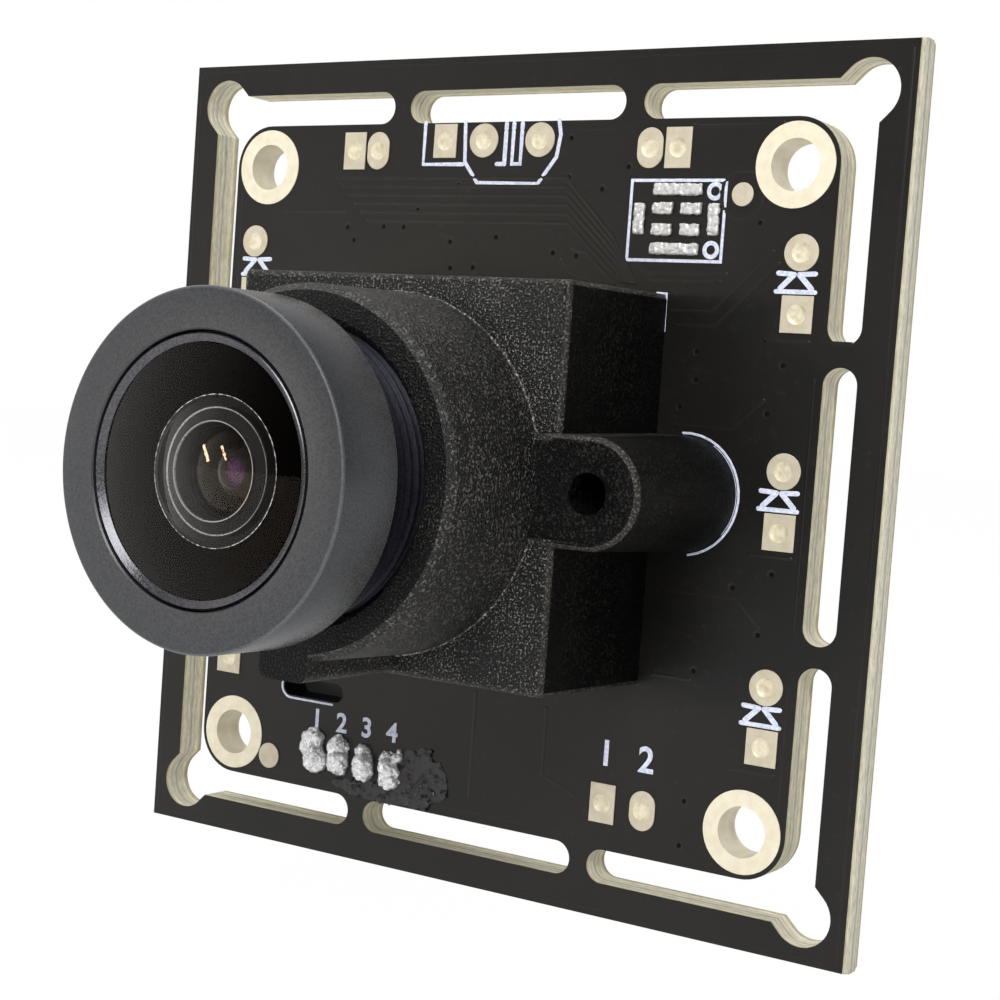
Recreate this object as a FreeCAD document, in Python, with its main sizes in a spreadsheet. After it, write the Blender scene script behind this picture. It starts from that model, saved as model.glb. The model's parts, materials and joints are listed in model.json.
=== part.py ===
import FreeCAD, Part
import math
import os
import re

import Sketcher

# Board camera: a square circuit board with a break-away rim, a moulded lens holder screwed to its
# front and a focusing lens in the holder's thread.
# Frame: millimetres, +Z up, the lens looks along -Y. The origin is the centre of the four mounting
# holes on the rear face of the board, so the board fills y = -board_thickness to y = 0.

doc = FreeCAD.newDocument("camera_module")
sheet = doc.addObject("Spreadsheet::Sheet", "Sizes")

# Each row is an alias, its value and what it measures. Lengths are in millimetres.
SIZES = [
    ("board_side", 38.0, "width and height of the board's faces"),
    ("board_thickness", 1.6, "laminate thickness"),
    ("score_step", 0.1, "how far the snapped score line stands out beyond the faces"),
    ("score_depth", 0.5, "depth of the score groove from each face"),
    ("core_side", 32.0, "side of the core inside the break-away rim"),
    ("slot_width", 1.5, "width of the slots between core and rim"),
    ("bridge_width", 0.9, "width of the bridges that hold core and rim together"),
    ("bridge_place", 6.2, "distance of a bridge from the middle of its side"),
    ("hole_pitch", 28.0, "spacing of the mounting holes, both ways"),
    ("hole_radius", 1.1, "clear radius of a plated mounting hole"),
    ("land_radius", 1.8, "radius of the land round a mounting hole"),
    ("plating", 0.04, "thickness of plated and bare metal on the board"),
    ("notch_pitch", 34.0, "spacing of the notches in the rim's corners, both ways"),
    ("notch_radius", 1.3, "radius of a notch"),
    ("ear_pitch", 20.0, "spacing of the holder's two screws"),
    ("screw_hole_radius", 1.1, "hole in the board for a holder screw"),
    ("window_length", 3.6, "length of the small outlined slot under the holder"),
    ("window_width", 0.9, "width of that slot"),
    ("window_x", -9.2, "middle of that slot, across"),
    ("window_z", -11.2, "middle of that slot, up"),
    ("pin_pitch", 1.5, "spacing of the connector's pins"),
    ("pin_side", 0.5, "thickness of a square pin"),
    ("pin_hole_radius", 0.45, "hole in the board for a pin"),
    ("connector_x", -6.6, "middle of the pin row, across"),
    ("connector_z", -14.2, "height of the pin row"),
    ("pad_radius", 0.77, "radius of a round pad"),
    ("pad_side", 1.55, "height of a square pad"),
    ("pad_width", 1.43, "width of a square side pad"),
    ("side_pad_x", 14.6, "distance of the side pads from the middle"),
    ("side_pad_top", 10.39, "height of the uppermost round side pad"),
    ("side_pad_pitch", 9.07, "spacing from one pair of side pads to the next"),
    ("side_pad_gap", 2.55, "from the round pad of a pair to its square pad"),
    ("tall_pad_x", 7.97, "distance of the two pairs of tall pads from their middle"),
    ("tall_pad_shift", -0.15, "how far that middle lies off the lens axis"),
    ("tall_pad_z", 14.75, "height of the two pairs of tall pads"),
    ("tall_pad_gap", 1.37, "from a pair's square-cornered pad to its round-ended one"),
    ("tall_pad_width", 1.25, "width of a tall pad"),
    ("tall_pad_height", 1.75, "height of a tall pad"),
    ("middle_pad_z", 15.16, "height of the three pads at the top middle"),
    ("middle_round_x", 1.5, "distance of the two round middle pads from the lens axis"),
    ("middle_square_x", -3.63, "place of the square middle pad"),
    ("low_pad_x", 7.23, "place of the square-cornered pad at the bottom"),
    ("low_pad_z", -13.93, "height of the two pads at the bottom"),
    ("low_pad_gap", 2.0, "from that pad to the round-ended one beside it"),
    ("upper_mark_radius", 0.5, "radius of the round mark at the top right"),
    ("upper_mark_x", 11.71, "place of that mark, across"),
    ("upper_mark_z", 12.77, "place of that mark, up"),
    ("lower_mark_radius", 0.62, "radius of the round mark at the bottom left"),
    ("lower_mark_x", -11.66, "place of that mark, across"),
    ("lower_mark_z", -14.83, "place of that mark, up"),
    ("tin_x", 8.66, "middle of the eight tinned pads, across"),
    ("tin_z", 11.7, "middle of the eight tinned pads, up"),
    ("tin_long", 2.3, "length of the upper and lower tinned pads"),
    ("tin_long_place", 1.27, "distance of those two from the middle"),
    ("tin_tall", 1.32, "height of the left and right tinned pads"),
    ("tin_tall_place", 1.8, "distance of those two from the middle"),
    ("tin_thin", 0.48, "thin side of a tinned pad"),
    ("tin_small", 0.95, "length of the four inner tinned pads"),
    ("tin_small_x", 0.68, "distance of those four from the middle, across"),
    ("tin_small_z", 0.45, "distance of those four from the middle, up"),
    ("base_side", 17.0, "side of the holder's square base at the board"),
    ("base_height", 8.0, "height of the base above the board"),
    ("base_draft", 0.7, "mould draft of the base, degrees"),
    ("base_round", 0.3, "rounding of the base's edges"),
    ("boss_root_radius", 7.65, "radius of the round boss where it leaves the base"),
    ("boss_face_radius", 7.5, "radius of the boss at its face"),
    ("boss_height", 6.0, "height of the boss above the base"),
    ("boss_bevel", 0.3, "bevel of the boss's face edge"),
    ("ear_radius", 2.5, "radius of a screw ear at the board"),
    ("ear_draft", 1.6, "mould draft of the ears, degrees"),
    ("ear_height", 8.25, "height of the ears above the board"),
    ("ear_round", 0.32, "rounding of the ears' face edge"),
    ("pilot_radius", 0.85, "screw hole through an ear"),
    ("rib_width", 2.4, "width of the rib under the boss"),
    ("rib_reach", 8.3, "from the lens axis to the foot of the rib"),
    ("rib_round", 0.4, "rounding of the rib's foot"),
    ("bore_radius", 6.0, "lens thread in the holder, at its crests' clearance line"),
    ("bore_mouth", 0.3, "chamfer at the mouth of the thread"),
    ("cavity_side", 12.8, "square space over the sensor"),
    ("cavity_depth", 3.4, "depth of that space"),
    ("cavity_round", 1.0, "corner radius of that space"),
    ("thread_gap", 0.05, "running clearance of the lens in the holder"),
    ("head_gap", 2.5, "bare thread between holder and lens head"),
    ("head_radius", 6.85, "radius of the lens head"),
    ("head_length", 3.35, "length of the lens head"),
    ("head_edge", 0.12, "chamfer on the head's edges"),
    ("relief_length", 0.5, "length of the undercut behind the head"),
    ("relief_depth", 0.3, "depth of the undercut behind the head"),
    ("thread_length", 10.9, "from the back of the head to the end of the barrel"),
    ("retainer_radius", 5.2, "outer radius of the front retaining ring"),
    ("retainer_opening", 4.8, "radius of the ring's opening"),
    ("retainer_bevel", 0.22, "how far the ring's bevel falls"),
    ("retainer_length", 1.1, "depth of the retaining ring"),
    ("glass_radius", 5.0, "radius of the front element"),
    ("glass_front_curve", 20.0, "radius of curvature of the front element's front"),
    ("glass_bowl_curve", 3.3, "radius of curvature of the bowl in its back"),
    ("glass_bowl_radius", 2.9, "radius of the bowl's mouth"),
    ("glass_middle", 0.8, "thickness of the front element on the axis"),
    ("seat_gap", 0.03, "clearance round and between the pieces of the lens stack"),
    ("stack_radius", 3.6, "radius of the bore that holds the inner stack"),
    ("spacer_length", 0.9, "length of the spacer ring behind the front element"),
    ("spacer_mouth", 2.55, "radius of the spacer's opening at the front"),
    ("spacer_throat", 2.15, "radius of the spacer's opening at the back"),
    ("second_length", 1.9, "edge length of the second element"),
    ("second_curve", 5.2, "radius of curvature of the second element's front"),
    ("stop_thickness", 0.15, "thickness of the aperture stop"),
    ("stop_radius", 0.95, "radius of the aperture"),
    ("third_length", 2.2, "edge length of the third element"),
    ("third_curve", 4.6, "radius of curvature of the third element's hollow"),
    ("third_face_radius", 2.6, "radius of the mouth of that hollow"),
    ("rear_spacer_length", 1.3, "length of the rear spacer"),
    ("rear_spacer_opening", 2.7, "radius of the rear spacer's opening"),
    ("rear_length", 1.6, "edge length of the rear element"),
    ("rear_curve", 6.5, "radius of curvature of the rear element's back"),
    ("rear_ring_length", 0.9, "length of the rear retaining ring"),
    ("rear_ring_opening", 2.6, "radius of the rear ring's opening"),
    ("filter_side", 6.4, "side of the square filter plate"),
    ("filter_thickness", 0.3, "thickness of the filter plate"),
    ("filter_recess", 4.7, "radius of the recess for the filter in the barrel's end"),
    ("screw_head_radius", 1.9, "radius of a holder screw's head"),
    ("screw_head_height", 1.3, "height of a holder screw's head"),
    ("screw_crown_radius", 1.35, "radius of the flat on a screw head, inside its bevel"),
    ("screw_shank_radius", 0.8, "core radius of a holder screw"),
    ("screw_length", 7.0, "length of a holder screw under its head"),
    ("recess_length", 2.0, "length of the cross recess in a screw head"),
    ("recess_width", 0.5, "width of the cross recess"),
    ("recess_depth", 0.7, "depth of the cross recess"),
    ("sensor_width", 8.6, "width of the sensor package"),
    ("sensor_height", 7.6, "height of the sensor package"),
    ("sensor_thickness", 0.7, "thickness of the sensor package"),
    ("sensor_wall", 0.8, "wall round the sensor's well"),
    ("die_width", 5.6, "width of the sensor's die"),
    ("die_height", 4.3, "height of the sensor's die"),
    ("die_thickness", 0.2, "thickness of the sensor's die"),
    ("cover_thickness", 0.4, "thickness of the sensor's cover glass"),
    ("cover_margin", 0.3, "step from the package's edge to the cover glass"),
    ("housing_height", 3.5, "height of the connector housing"),
    ("housing_depth", 4.6, "how far the connector housing stands off the board"),
    ("housing_wall", 0.5, "wall of the connector housing"),
    ("housing_floor", 1.0, "floor of the connector housing"),
    ("housing_end", 1.5, "from the last pin to the end of the housing"),
    ("chip_side", 7.0, "side of the square controller chip"),
    ("chip_thickness", 1.3, "thickness of the controller chip"),
    ("chip_standoff", 0.1, "gap under the chips"),
    ("chip_draft", 9.0, "mould draft of the chips, degrees"),
    ("lead_pitch", 0.5, "spacing of the controller's leads"),
    ("lead_width", 0.22, "width of a controller lead"),
    ("lead_thickness", 0.13, "thickness of a lead"),
    ("lead_reach", 1.0, "how far a lead reaches beyond its chip"),
    ("lead_foot", 0.55, "length of a lead's flat foot"),
    ("chip_x", 0.5, "middle of the controller chip, across"),
    ("chip_z", 2.5, "middle of the controller chip, up"),
    ("flash_side", 5.2, "side of the memory chip"),
    ("flash_x", 9.2, "middle of the memory chip, across"),
    ("flash_z", -8.9, "middle of the memory chip, up"),
    ("flash_pitch", 1.27, "spacing of the memory chip's leads"),
    ("flash_lead_width", 0.42, "width of the memory chip's leads"),
    ("regulator_width", 1.6, "width of a voltage regulator"),
    ("regulator_height", 2.9, "height of a voltage regulator"),
    ("regulator_thickness", 1.1, "thickness of a voltage regulator"),
    ("regulator_x", 10.6, "middle of the regulators, across"),
    ("regulator_z", 5.4, "middle of the lower regulator, up"),
    ("regulator_step", 4.8, "from one regulator to the next"),
    ("regulator_pitch", 0.95, "spacing of a regulator's leads"),
    ("regulator_lead_width", 0.4, "width of a regulator's leads"),
    ("crystal_width", 3.2, "width of the clock crystal's can"),
    ("crystal_height", 2.5, "height of the clock crystal's can"),
    ("crystal_thickness", 0.8, "thickness of the clock crystal's can"),
    ("crystal_x", -2.2, "middle of the clock crystal, across"),
    ("crystal_z", -5.6, "middle of the clock crystal, up"),
    ("inductor_side", 4.0, "side of the power inductor"),
    ("inductor_thickness", 1.8, "thickness of the power inductor"),
    ("inductor_x", -10.6, "middle of the power inductor, across"),
    ("inductor_z", 7.6, "middle of the power inductor, up"),
    ("choke_width", 4.5, "length of the line choke"),
    ("choke_height", 1.9, "width of the line choke"),
    ("choke_thickness", 1.4, "thickness of the line choke"),
    ("chip_part_length", 1.6, "length of a small capacitor or resistor"),
    ("chip_part_width", 0.8, "width of a small capacitor or resistor"),
    ("capacitor_thickness", 0.8, "thickness of a small capacitor"),
    ("resistor_thickness", 0.45, "thickness of a small resistor"),
    ("terminal_length", 0.32, "length of a small part's metal end"),
    ("joint_radius", 0.72, "radius of a solder joint at the board"),
    ("joint_tip_radius", 0.3, "radius of a solder joint at its tip"),
    ("joint_height", 0.7, "height of a solder joint"),
    ("pin_tip", 0.55, "how far a pin stands out in front of the board"),
    ("pin_setback", 1.1, "from the housing's rim down to the pins' ends"),
    ("well_depth", 0.4, "depth of the sensor's well"),
    ("key_width", 0.8, "width of the two key slots in the housing"),
    ("key_place", 1.5, "distance of a key slot from the middle of the housing"),
]
ALIASES = [name for name, _, _ in SIZES]

for row, (name, number, meaning) in enumerate(SIZES, start=1):
    sheet.set("A%d" % row, name)
    sheet.set("B%d" % row, str(number))
    sheet.set("C%d" % row, meaning)
    sheet.setAlias("B%d" % row, name)
doc.recompute()


def bind(text):
    """Turn size names in an expression into references to the sheet's cells."""
    return re.sub(r"[a-z_]\w*", lambda m: "Sizes." + m[0] if m[0] in ALIASES else m[0], str(text))


def number(text):
    """The present value of an expression written with size names."""
    found = sheet.evalExpression(bind(text))
    return float(getattr(found, "Value", found))


def new_body(label):
    body = doc.addObject("PartDesign::Body", label)
    body.Label = label
    body.AllowCompound = True
    return body


def origin_part(body, role):
    return next(f for f in body.Origin.OriginFeatures if f.Role == role)


def new_sketch(body, name, plane="XZ_Plane", right=0, up=0, lift=0):
    """A sketch on an origin plane. On XZ_Plane, right is +X, up is +Z and lift is towards -Y."""
    sketch = body.newObject("Sketcher::SketchObject", name)
    sketch.AttachmentSupport = [(origin_part(body, plane), "")]
    sketch.MapMode = "FlatFace"
    sketch.setExpression("AttachmentOffset.Base.x", bind(right))
    sketch.setExpression("AttachmentOffset.Base.y", bind(up))
    sketch.setExpression("AttachmentOffset.Base.z", bind(lift))
    return sketch


def pin_point(sketch, curve, end, x, y):
    """Tie one point of a curve to the expressions x and y. Give None to leave one free."""
    for kind, text, axis in (("DistanceX", x, -2), ("DistanceY", y, -1)):
        if text is None:
            continue
        if str(text) == "0":
            sketch.addConstraint(Sketcher.Constraint("PointOnObject", curve, end, axis))
            continue
        place = sketch.addConstraint(Sketcher.Constraint(kind, -1, 1, curve, end, number(text)))
        sketch.setExpression("Constraints[%d]" % place, bind(text))


def draw_outline(sketch, corners, arcs=None):
    """Draw a closed outline through corners, pairs of expressions.

    arcs gives, for the side that starts at a corner's number, which coordinate of the arc's centre
    is held ("x" or "y"), its expression, and +1 for an arc that turns left or -1 for right.
    """
    arcs = arcs or {}
    points = [FreeCAD.Vector(number(x), number(y), 0) for x, y in corners]
    ends = []
    for side, start in enumerate(points):
        finish = points[(side + 1) % len(points)]
        if side not in arcs:
            curve = sketch.addGeometry(Part.LineSegment(start, finish), False)
            ends.append((curve, 1, 2))
            continue
        held, text, turn = arcs[side]
        middle = (start + finish) * 0.5
        chord = finish - start
        if held == "x":
            along = (number(text) - middle.x) / -chord.y if abs(chord.y) > 1e-9 else 0.0
        else:
            along = (number(text) - middle.y) / chord.x if abs(chord.x) > 1e-9 else 0.0
        centre = middle + FreeCAD.Vector(-chord.y, chord.x, 0) * along
        first, last = (start, finish) if turn > 0 else (finish, start)
        circle = Part.Circle(centre, FreeCAD.Vector(0, 0, 1), (start - centre).Length)
        begin = math.atan2(first.y - centre.y, first.x - centre.x)
        stop = math.atan2(last.y - centre.y, last.x - centre.x)
        if stop <= begin:
            stop += 2 * math.pi
        curve = sketch.addGeometry(Part.ArcOfCircle(circle, begin, stop), False)
        ends.append((curve, 1, 2) if turn > 0 else (curve, 2, 1))
        if held == "x":
            pin_point(sketch, curve, 3, text, None)
        else:
            pin_point(sketch, curve, 3, None, text)
    for side, (curve, start_end, _) in enumerate(ends):
        before, _, finish_end = ends[side - 1]
        sketch.addConstraint(Sketcher.Constraint("Coincident", before, finish_end, curve, start_end))
        pin_point(sketch, curve, start_end, *corners[side])


def draw_box(sketch, x, y, width, height):
    """Draw a rectangle centred on x, y."""
    low_x, high_x = "(%s) - (%s)/2" % (x, width), "(%s) + (%s)/2" % (x, width)
    low_y, high_y = "(%s) - (%s)/2" % (y, height), "(%s) + (%s)/2" % (y, height)
    draw_outline(sketch, [(low_x, low_y), (high_x, low_y), (high_x, high_y), (low_x, high_y)])


def draw_round_box(sketch, x, y, width, height, corner):
    """Draw a rectangle centred on x, y with round corners."""
    left, right = "(%s) - (%s)/2" % (x, width), "(%s) + (%s)/2" % (x, width)
    low, high = "(%s) - (%s)/2" % (y, height), "(%s) + (%s)/2" % (y, height)
    inner = {}
    for name, text, sign in (("l", left, "+"), ("r", right, "-"), ("b", low, "+"), ("t", high, "-")):
        inner[name] = "%s %s (%s)" % (text, sign, corner)
    corners = [
        (inner["l"], low), (inner["r"], low), (right, inner["b"]), (right, inner["t"]),
        (inner["r"], high), (inner["l"], high), (left, inner["t"]), (left, inner["b"]),
    ]
    arcs = {
        1: ("x", inner["r"], 1), 3: ("x", inner["r"], 1),
        5: ("x", inner["l"], 1), 7: ("x", inner["l"], 1),
    }
    draw_outline(sketch, corners, arcs)


def draw_circle(sketch, x, y, radius):
    circle = Part.Circle(
        FreeCAD.Vector(number(x), number(y), 0), FreeCAD.Vector(0, 0, 1), number(radius))
    curve = sketch.addGeometry(circle, False)
    pin_point(sketch, curve, 3, x, y)
    place = sketch.addConstraint(Sketcher.Constraint("Radius", curve, number(radius)))
    sketch.setExpression("Constraints[%d]" % place, bind(radius))


def draw_slot(sketch, x, y, length, width):
    """Draw a slot with round ends, lying along the sketch's x, centred on x, y."""
    half = "((%s) - (%s))/2" % (length, width)
    low, high = "(%s) - (%s)/2" % (y, width), "(%s) + (%s)/2" % (y, width)
    left, right = "(%s) - %s" % (x, half), "(%s) + %s" % (x, half)
    corners = [(left, low), (right, low), (right, high), (left, high)]
    draw_outline(sketch, corners, {1: ("x", right, 1), 3: ("x", left, 1)})


def pad(body, sketch, length, reverse=False, draft=None):
    feature = body.newObject("PartDesign::Pad", sketch.Name + "Pad")
    feature.Profile = sketch
    feature.setExpression("Length", bind(length))
    feature.Reversed = reverse
    if draft:
        feature.setExpression("TaperAngle", bind(draft))
    sketch.Visibility = False
    doc.recompute()
    return feature


def pocket(body, sketch, depth=None, reverse=False):
    """Cut along the sketch's normal away from -Y, or towards it when reversed."""
    feature = body.newObject("PartDesign::Pocket", sketch.Name + "Cut")
    feature.Profile = sketch
    feature.Reversed = reverse
    if depth is None:
        feature.Type = "ThroughAll"
        feature.Midplane = True
    else:
        feature.setExpression("Length", bind(depth))
    doc.recompute()
    return feature


def turn(body, sketch, cut=False):
    """Revolve a profile about the sketch's own vertical axis."""
    kind = "Groove" if cut else "Revolution"
    feature = body.newObject("PartDesign::" + kind, sketch.Name + kind)
    feature.Profile = sketch
    feature.ReferenceAxis = (sketch, ["V_Axis"])
    feature.Angle = 360
    doc.recompute()
    return feature


def repeat_round(body, features, count):
    """Repeat features round the axis of the lens."""
    pattern = body.newObject("PartDesign::PolarPattern", features[0].Name + "Round")
    pattern.Originals = features
    pattern.Axis = (origin_part(body, "Y_Axis"), [""])
    pattern.Angle = 360
    pattern.Occurrences = count
    body.Tip = pattern
    doc.recompute()
    return pattern


def repeat_along(body, features, axis, count, pitch):
    """Repeat features in a row along an axis of the body."""
    pattern = body.newObject("PartDesign::LinearPattern", features[0].Name + "Row")
    pattern.Originals = features
    pattern.Direction = (origin_part(body, axis), [""])
    pattern.Mode = "Spacing"
    pattern.setExpression("Offset", bind(pitch))
    pattern.Occurrences = count
    body.Tip = pattern
    doc.recompute()
    return pattern


def round_edges(body, base, choose, radius, name):
    """Round every edge of a feature that choose(edge) accepts."""
    edges = ["Edge%d" % (i + 1) for i, edge in enumerate(base.Shape.Edges) if choose(edge)]
    feature = body.newObject("PartDesign::Fillet", name)
    feature.Base = (base, edges)
    feature.setExpression("Radius", bind(radius))
    doc.recompute()
    return feature


def turned_piece(label, corners, arcs=None):
    """A piece of revolution about the lens axis: each corner is a radius and a place along Y."""
    body = new_body(label)
    sketch = new_sketch(body, label + "_profile", "XY_Plane")
    draw_outline(sketch, corners, arcs)
    turn(body, sketch)
    return body


def sag(curve, radius):
    """How far a spherical face of that curvature falls away at that radius."""
    return "(%s - sqrt(%s*%s - (%s)*(%s)))" % (curve, curve, curve, radius, radius)


# Places along Y, written with the sizes that set them.
FRONT = "(-board_thickness)"
BASE_FACE = "(-board_thickness - base_height)"
BOSS_FACE = "(-board_thickness - base_height - boss_height)"
HEAD_BACK = "(%s - head_gap)" % BOSS_FACE
HEAD_FRONT = "(%s - head_length)" % HEAD_BACK
BARREL_END = "(%s + thread_length)" % HEAD_BACK


# The board

def corner_cuts(sketch):
    """One corner slot with its notch, one middle slot and one mounting hole."""
    arm_end = "(bridge_place + bridge_width/2 + slot_width/2)"
    inner, outer = "(core_side/2)", "(core_side/2 + slot_width)"
    hole, notch = "(hole_pitch/2)", "(notch_pitch/2)"
    reach = "(notch_radius*sqrt(0.5))"
    near, far = "(%s - %s)" % (notch, reach), "(%s + %s)" % (notch, reach)
    shoulder = "(%s - (%s - %s))" % (near, far, outer)
    corners = [
        (arm_end, inner), (hole, inner), (inner, hole), (inner, arm_end), (outer, arm_end),
        (outer, shoulder), (far, near), (near, far), (shoulder, outer), (arm_end, outer),
    ]
    arcs = {
        1: ("x", hole, -1), 3: ("y", arm_end, 1), 6: ("x", notch, 1), 9: ("x", arm_end, 1),
    }
    draw_outline(sketch, corners, arcs)
    draw_slot(sketch, "0", "(%s + %s)/2" % (inner, outer), "2*bridge_place - bridge_width", "slot_width")
    draw_circle(sketch, hole, hole, "hole_radius + plating")


def make_main_board():
    body = new_body("main_board")
    outline = new_sketch(body, "board_outline")
    draw_box(outline, "0", "0", "board_side + 2*score_step", "board_side + 2*score_step")
    slab = pad(body, outline, "board_thickness")
    # The score grooves: each long edge of the slab is cut back by score_step over score_depth.
    rims = ["Edge%d" % (i + 1) for i, edge in enumerate(slab.Shape.Edges)
            if edge.BoundBox.YLength < 1e-6]
    score = body.newObject("PartDesign::Chamfer", "board_score")
    score.Base = (slab, rims)
    score.ChamferType = 1
    score.setExpression("Size", bind("score_depth"))
    score.setExpression("Size2", bind("score_step"))
    doc.recompute()
    cuts = new_sketch(body, "corner_cuts")
    corner_cuts(cuts)
    repeat_round(body, [pocket(body, cuts)], 4)
    holes = new_sketch(body, "small_holes")
    for side in (-1, 1):
        draw_circle(holes, "%d*ear_pitch/2" % side, "0", "screw_hole_radius")
    for pin in range(4):
        draw_circle(holes, pin_place(pin), "connector_z", "pin_hole_radius")
    draw_slot(holes, "window_x", "window_z", "window_length", "window_width")
    pocket(body, holes)
    return body


def pin_place(pin):
    return "(connector_x + %g*pin_pitch)" % (pin - 1.5)


def make_mounting_hole_lands():
    """A plated tube through each mounting hole, with a flat ring on each face."""
    body = new_body("mounting_hole_lands")
    profile = new_sketch(
        body, "land_profile", "XY_Plane", right="hole_pitch/2", lift="hole_pitch/2")
    wall = "(hole_radius + plating)"
    draw_outline(profile, [
        ("hole_radius", "plating"), ("hole_radius", "-board_thickness - plating"),
        ("land_radius", "-board_thickness - plating"), ("land_radius", "-board_thickness"),
        (wall, "-board_thickness"), (wall, "0"), ("land_radius", "0"), ("land_radius", "plating"),
    ])
    repeat_round(body, [turn(body, profile)], 4)
    return body


def flat_box(name, x, z, width, height, depth="plating"):
    """A thin box centred on x, z that lies on the board's front face."""
    box = doc.addObject("Part::Box", name)
    box.setExpression("Length", bind(width))
    box.setExpression("Width", bind(depth))
    box.setExpression("Height", bind(height))
    box.setExpression("Placement.Base.x", bind("(%s) - (%s)/2" % (x, width)))
    box.setExpression("Placement.Base.y", bind("%s - (%s)" % (FRONT, depth)))
    box.setExpression("Placement.Base.z", bind("(%s) - (%s)/2" % (z, height)))
    return box


def flat_disc(name, x, z, radius):
    """A thin disc centred on x, z that lies on the board's front face."""
    cylinder = doc.addObject("Part::Cylinder", name)
    cylinder.Placement = FreeCAD.Placement(
        FreeCAD.Vector(), FreeCAD.Rotation(FreeCAD.Vector(1, 0, 0), 90))
    cylinder.setExpression("Radius", bind(radius))
    cylinder.setExpression("Height", bind("plating"))
    cylinder.setExpression("Placement.Base.x", bind(x))
    cylinder.setExpression("Placement.Base.y", bind(FRONT))
    cylinder.setExpression("Placement.Base.z", bind(z))
    return cylinder


def group(label, pieces):
    """Several separate solids of one kind, kept as one piece of the model."""
    compound = doc.addObject("Part::Compound", label)
    compound.Label = label
    compound.Links = pieces
    return compound


def make_contact_pads():
    """Bare pads on the front face: side pairs, tall pairs at the top, three at the top middle,
    two at the bottom right and two round marks for the assembly machine."""
    pads = []
    for side in (-1, 1):
        for pair in range(3):
            x = "%d*side_pad_x" % side
            top = "(side_pad_top - %d*side_pad_pitch)" % pair
            name = "side_pad_%s%d" % ("l" if side < 0 else "r", pair)
            pads.append(flat_disc(name, x, top, "pad_radius"))
            pads.append(flat_box(
                name + "_square", x, top + " - side_pad_gap", "pad_width", "pad_side"))
        middle = "(%d*tall_pad_x + tall_pad_shift)" % side
        name = "tall_pad_%s" % ("l" if side < 0 else "r")
        pads.append(tall_pad(name, "%s + %d*tall_pad_gap/2" % (middle, side), "tall_pad_z"))
        pads.append(oval_pad(
            name + "_oval", "%s - %d*tall_pad_gap/2" % (middle, side), "tall_pad_z"))
        name = "middle_pad_%s" % ("l" if side < 0 else "r")
        pads.append(flat_disc(name, "%d*middle_round_x" % side, "middle_pad_z", "pad_radius"))
    pads.append(flat_box(
        "middle_square", "middle_square_x", "middle_pad_z", "tall_pad_width", "pad_side"))
    pads.append(tall_pad("low_pad", "low_pad_x", "low_pad_z"))
    pads.append(oval_pad("low_oval", "low_pad_x + low_pad_gap", "low_pad_z"))
    for mark in ("upper_mark", "lower_mark"):
        pads.append(flat_disc(mark, mark + "_x", mark + "_z", mark + "_radius"))
    return group("contact_pads", pads)


def tall_pad(name, x, z):
    return flat_box(name, x, z, "tall_pad_width", "tall_pad_height")


def oval_pad(name, x, z):
    """A pad with round ends: its straight middle and two half discs in one."""
    half = "(tall_pad_height - tall_pad_width)/2"
    parts = [flat_box(name + "_middle", x, z, "tall_pad_width", "2*" + half)]
    for side in (-1, 1):
        end = "(%s) + %d*%s" % (z, side, half)
        parts.append(flat_disc(name + "_end%d" % (side + 1), x, end, "tall_pad_width/2"))
    fuse = doc.addObject("Part::MultiFuse", name)
    fuse.Shapes = parts
    fuse.Refine = True
    return fuse


def make_tinned_pads():
    """The eight tinned pads of the empty place inside the printed box."""
    pads = []

    def add(across, up, width, height):
        pads.append(flat_box(
            "tinned_%d" % len(pads), "tin_x + " + across, "tin_z + " + up, width, height, "2*plating"))

    for side in (-1, 1):
        add("0", "%d*tin_long_place" % side, "tin_long", "tin_thin")
        add("%d*tin_tall_place" % side, "0", "tin_thin", "tin_tall")
        for line in (-1, 1):
            add("%d*tin_small_x" % side, "%d*tin_small_z" % line, "tin_small", "tin_thin")
    return group("tinned_pads", pads)


# The holder

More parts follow.
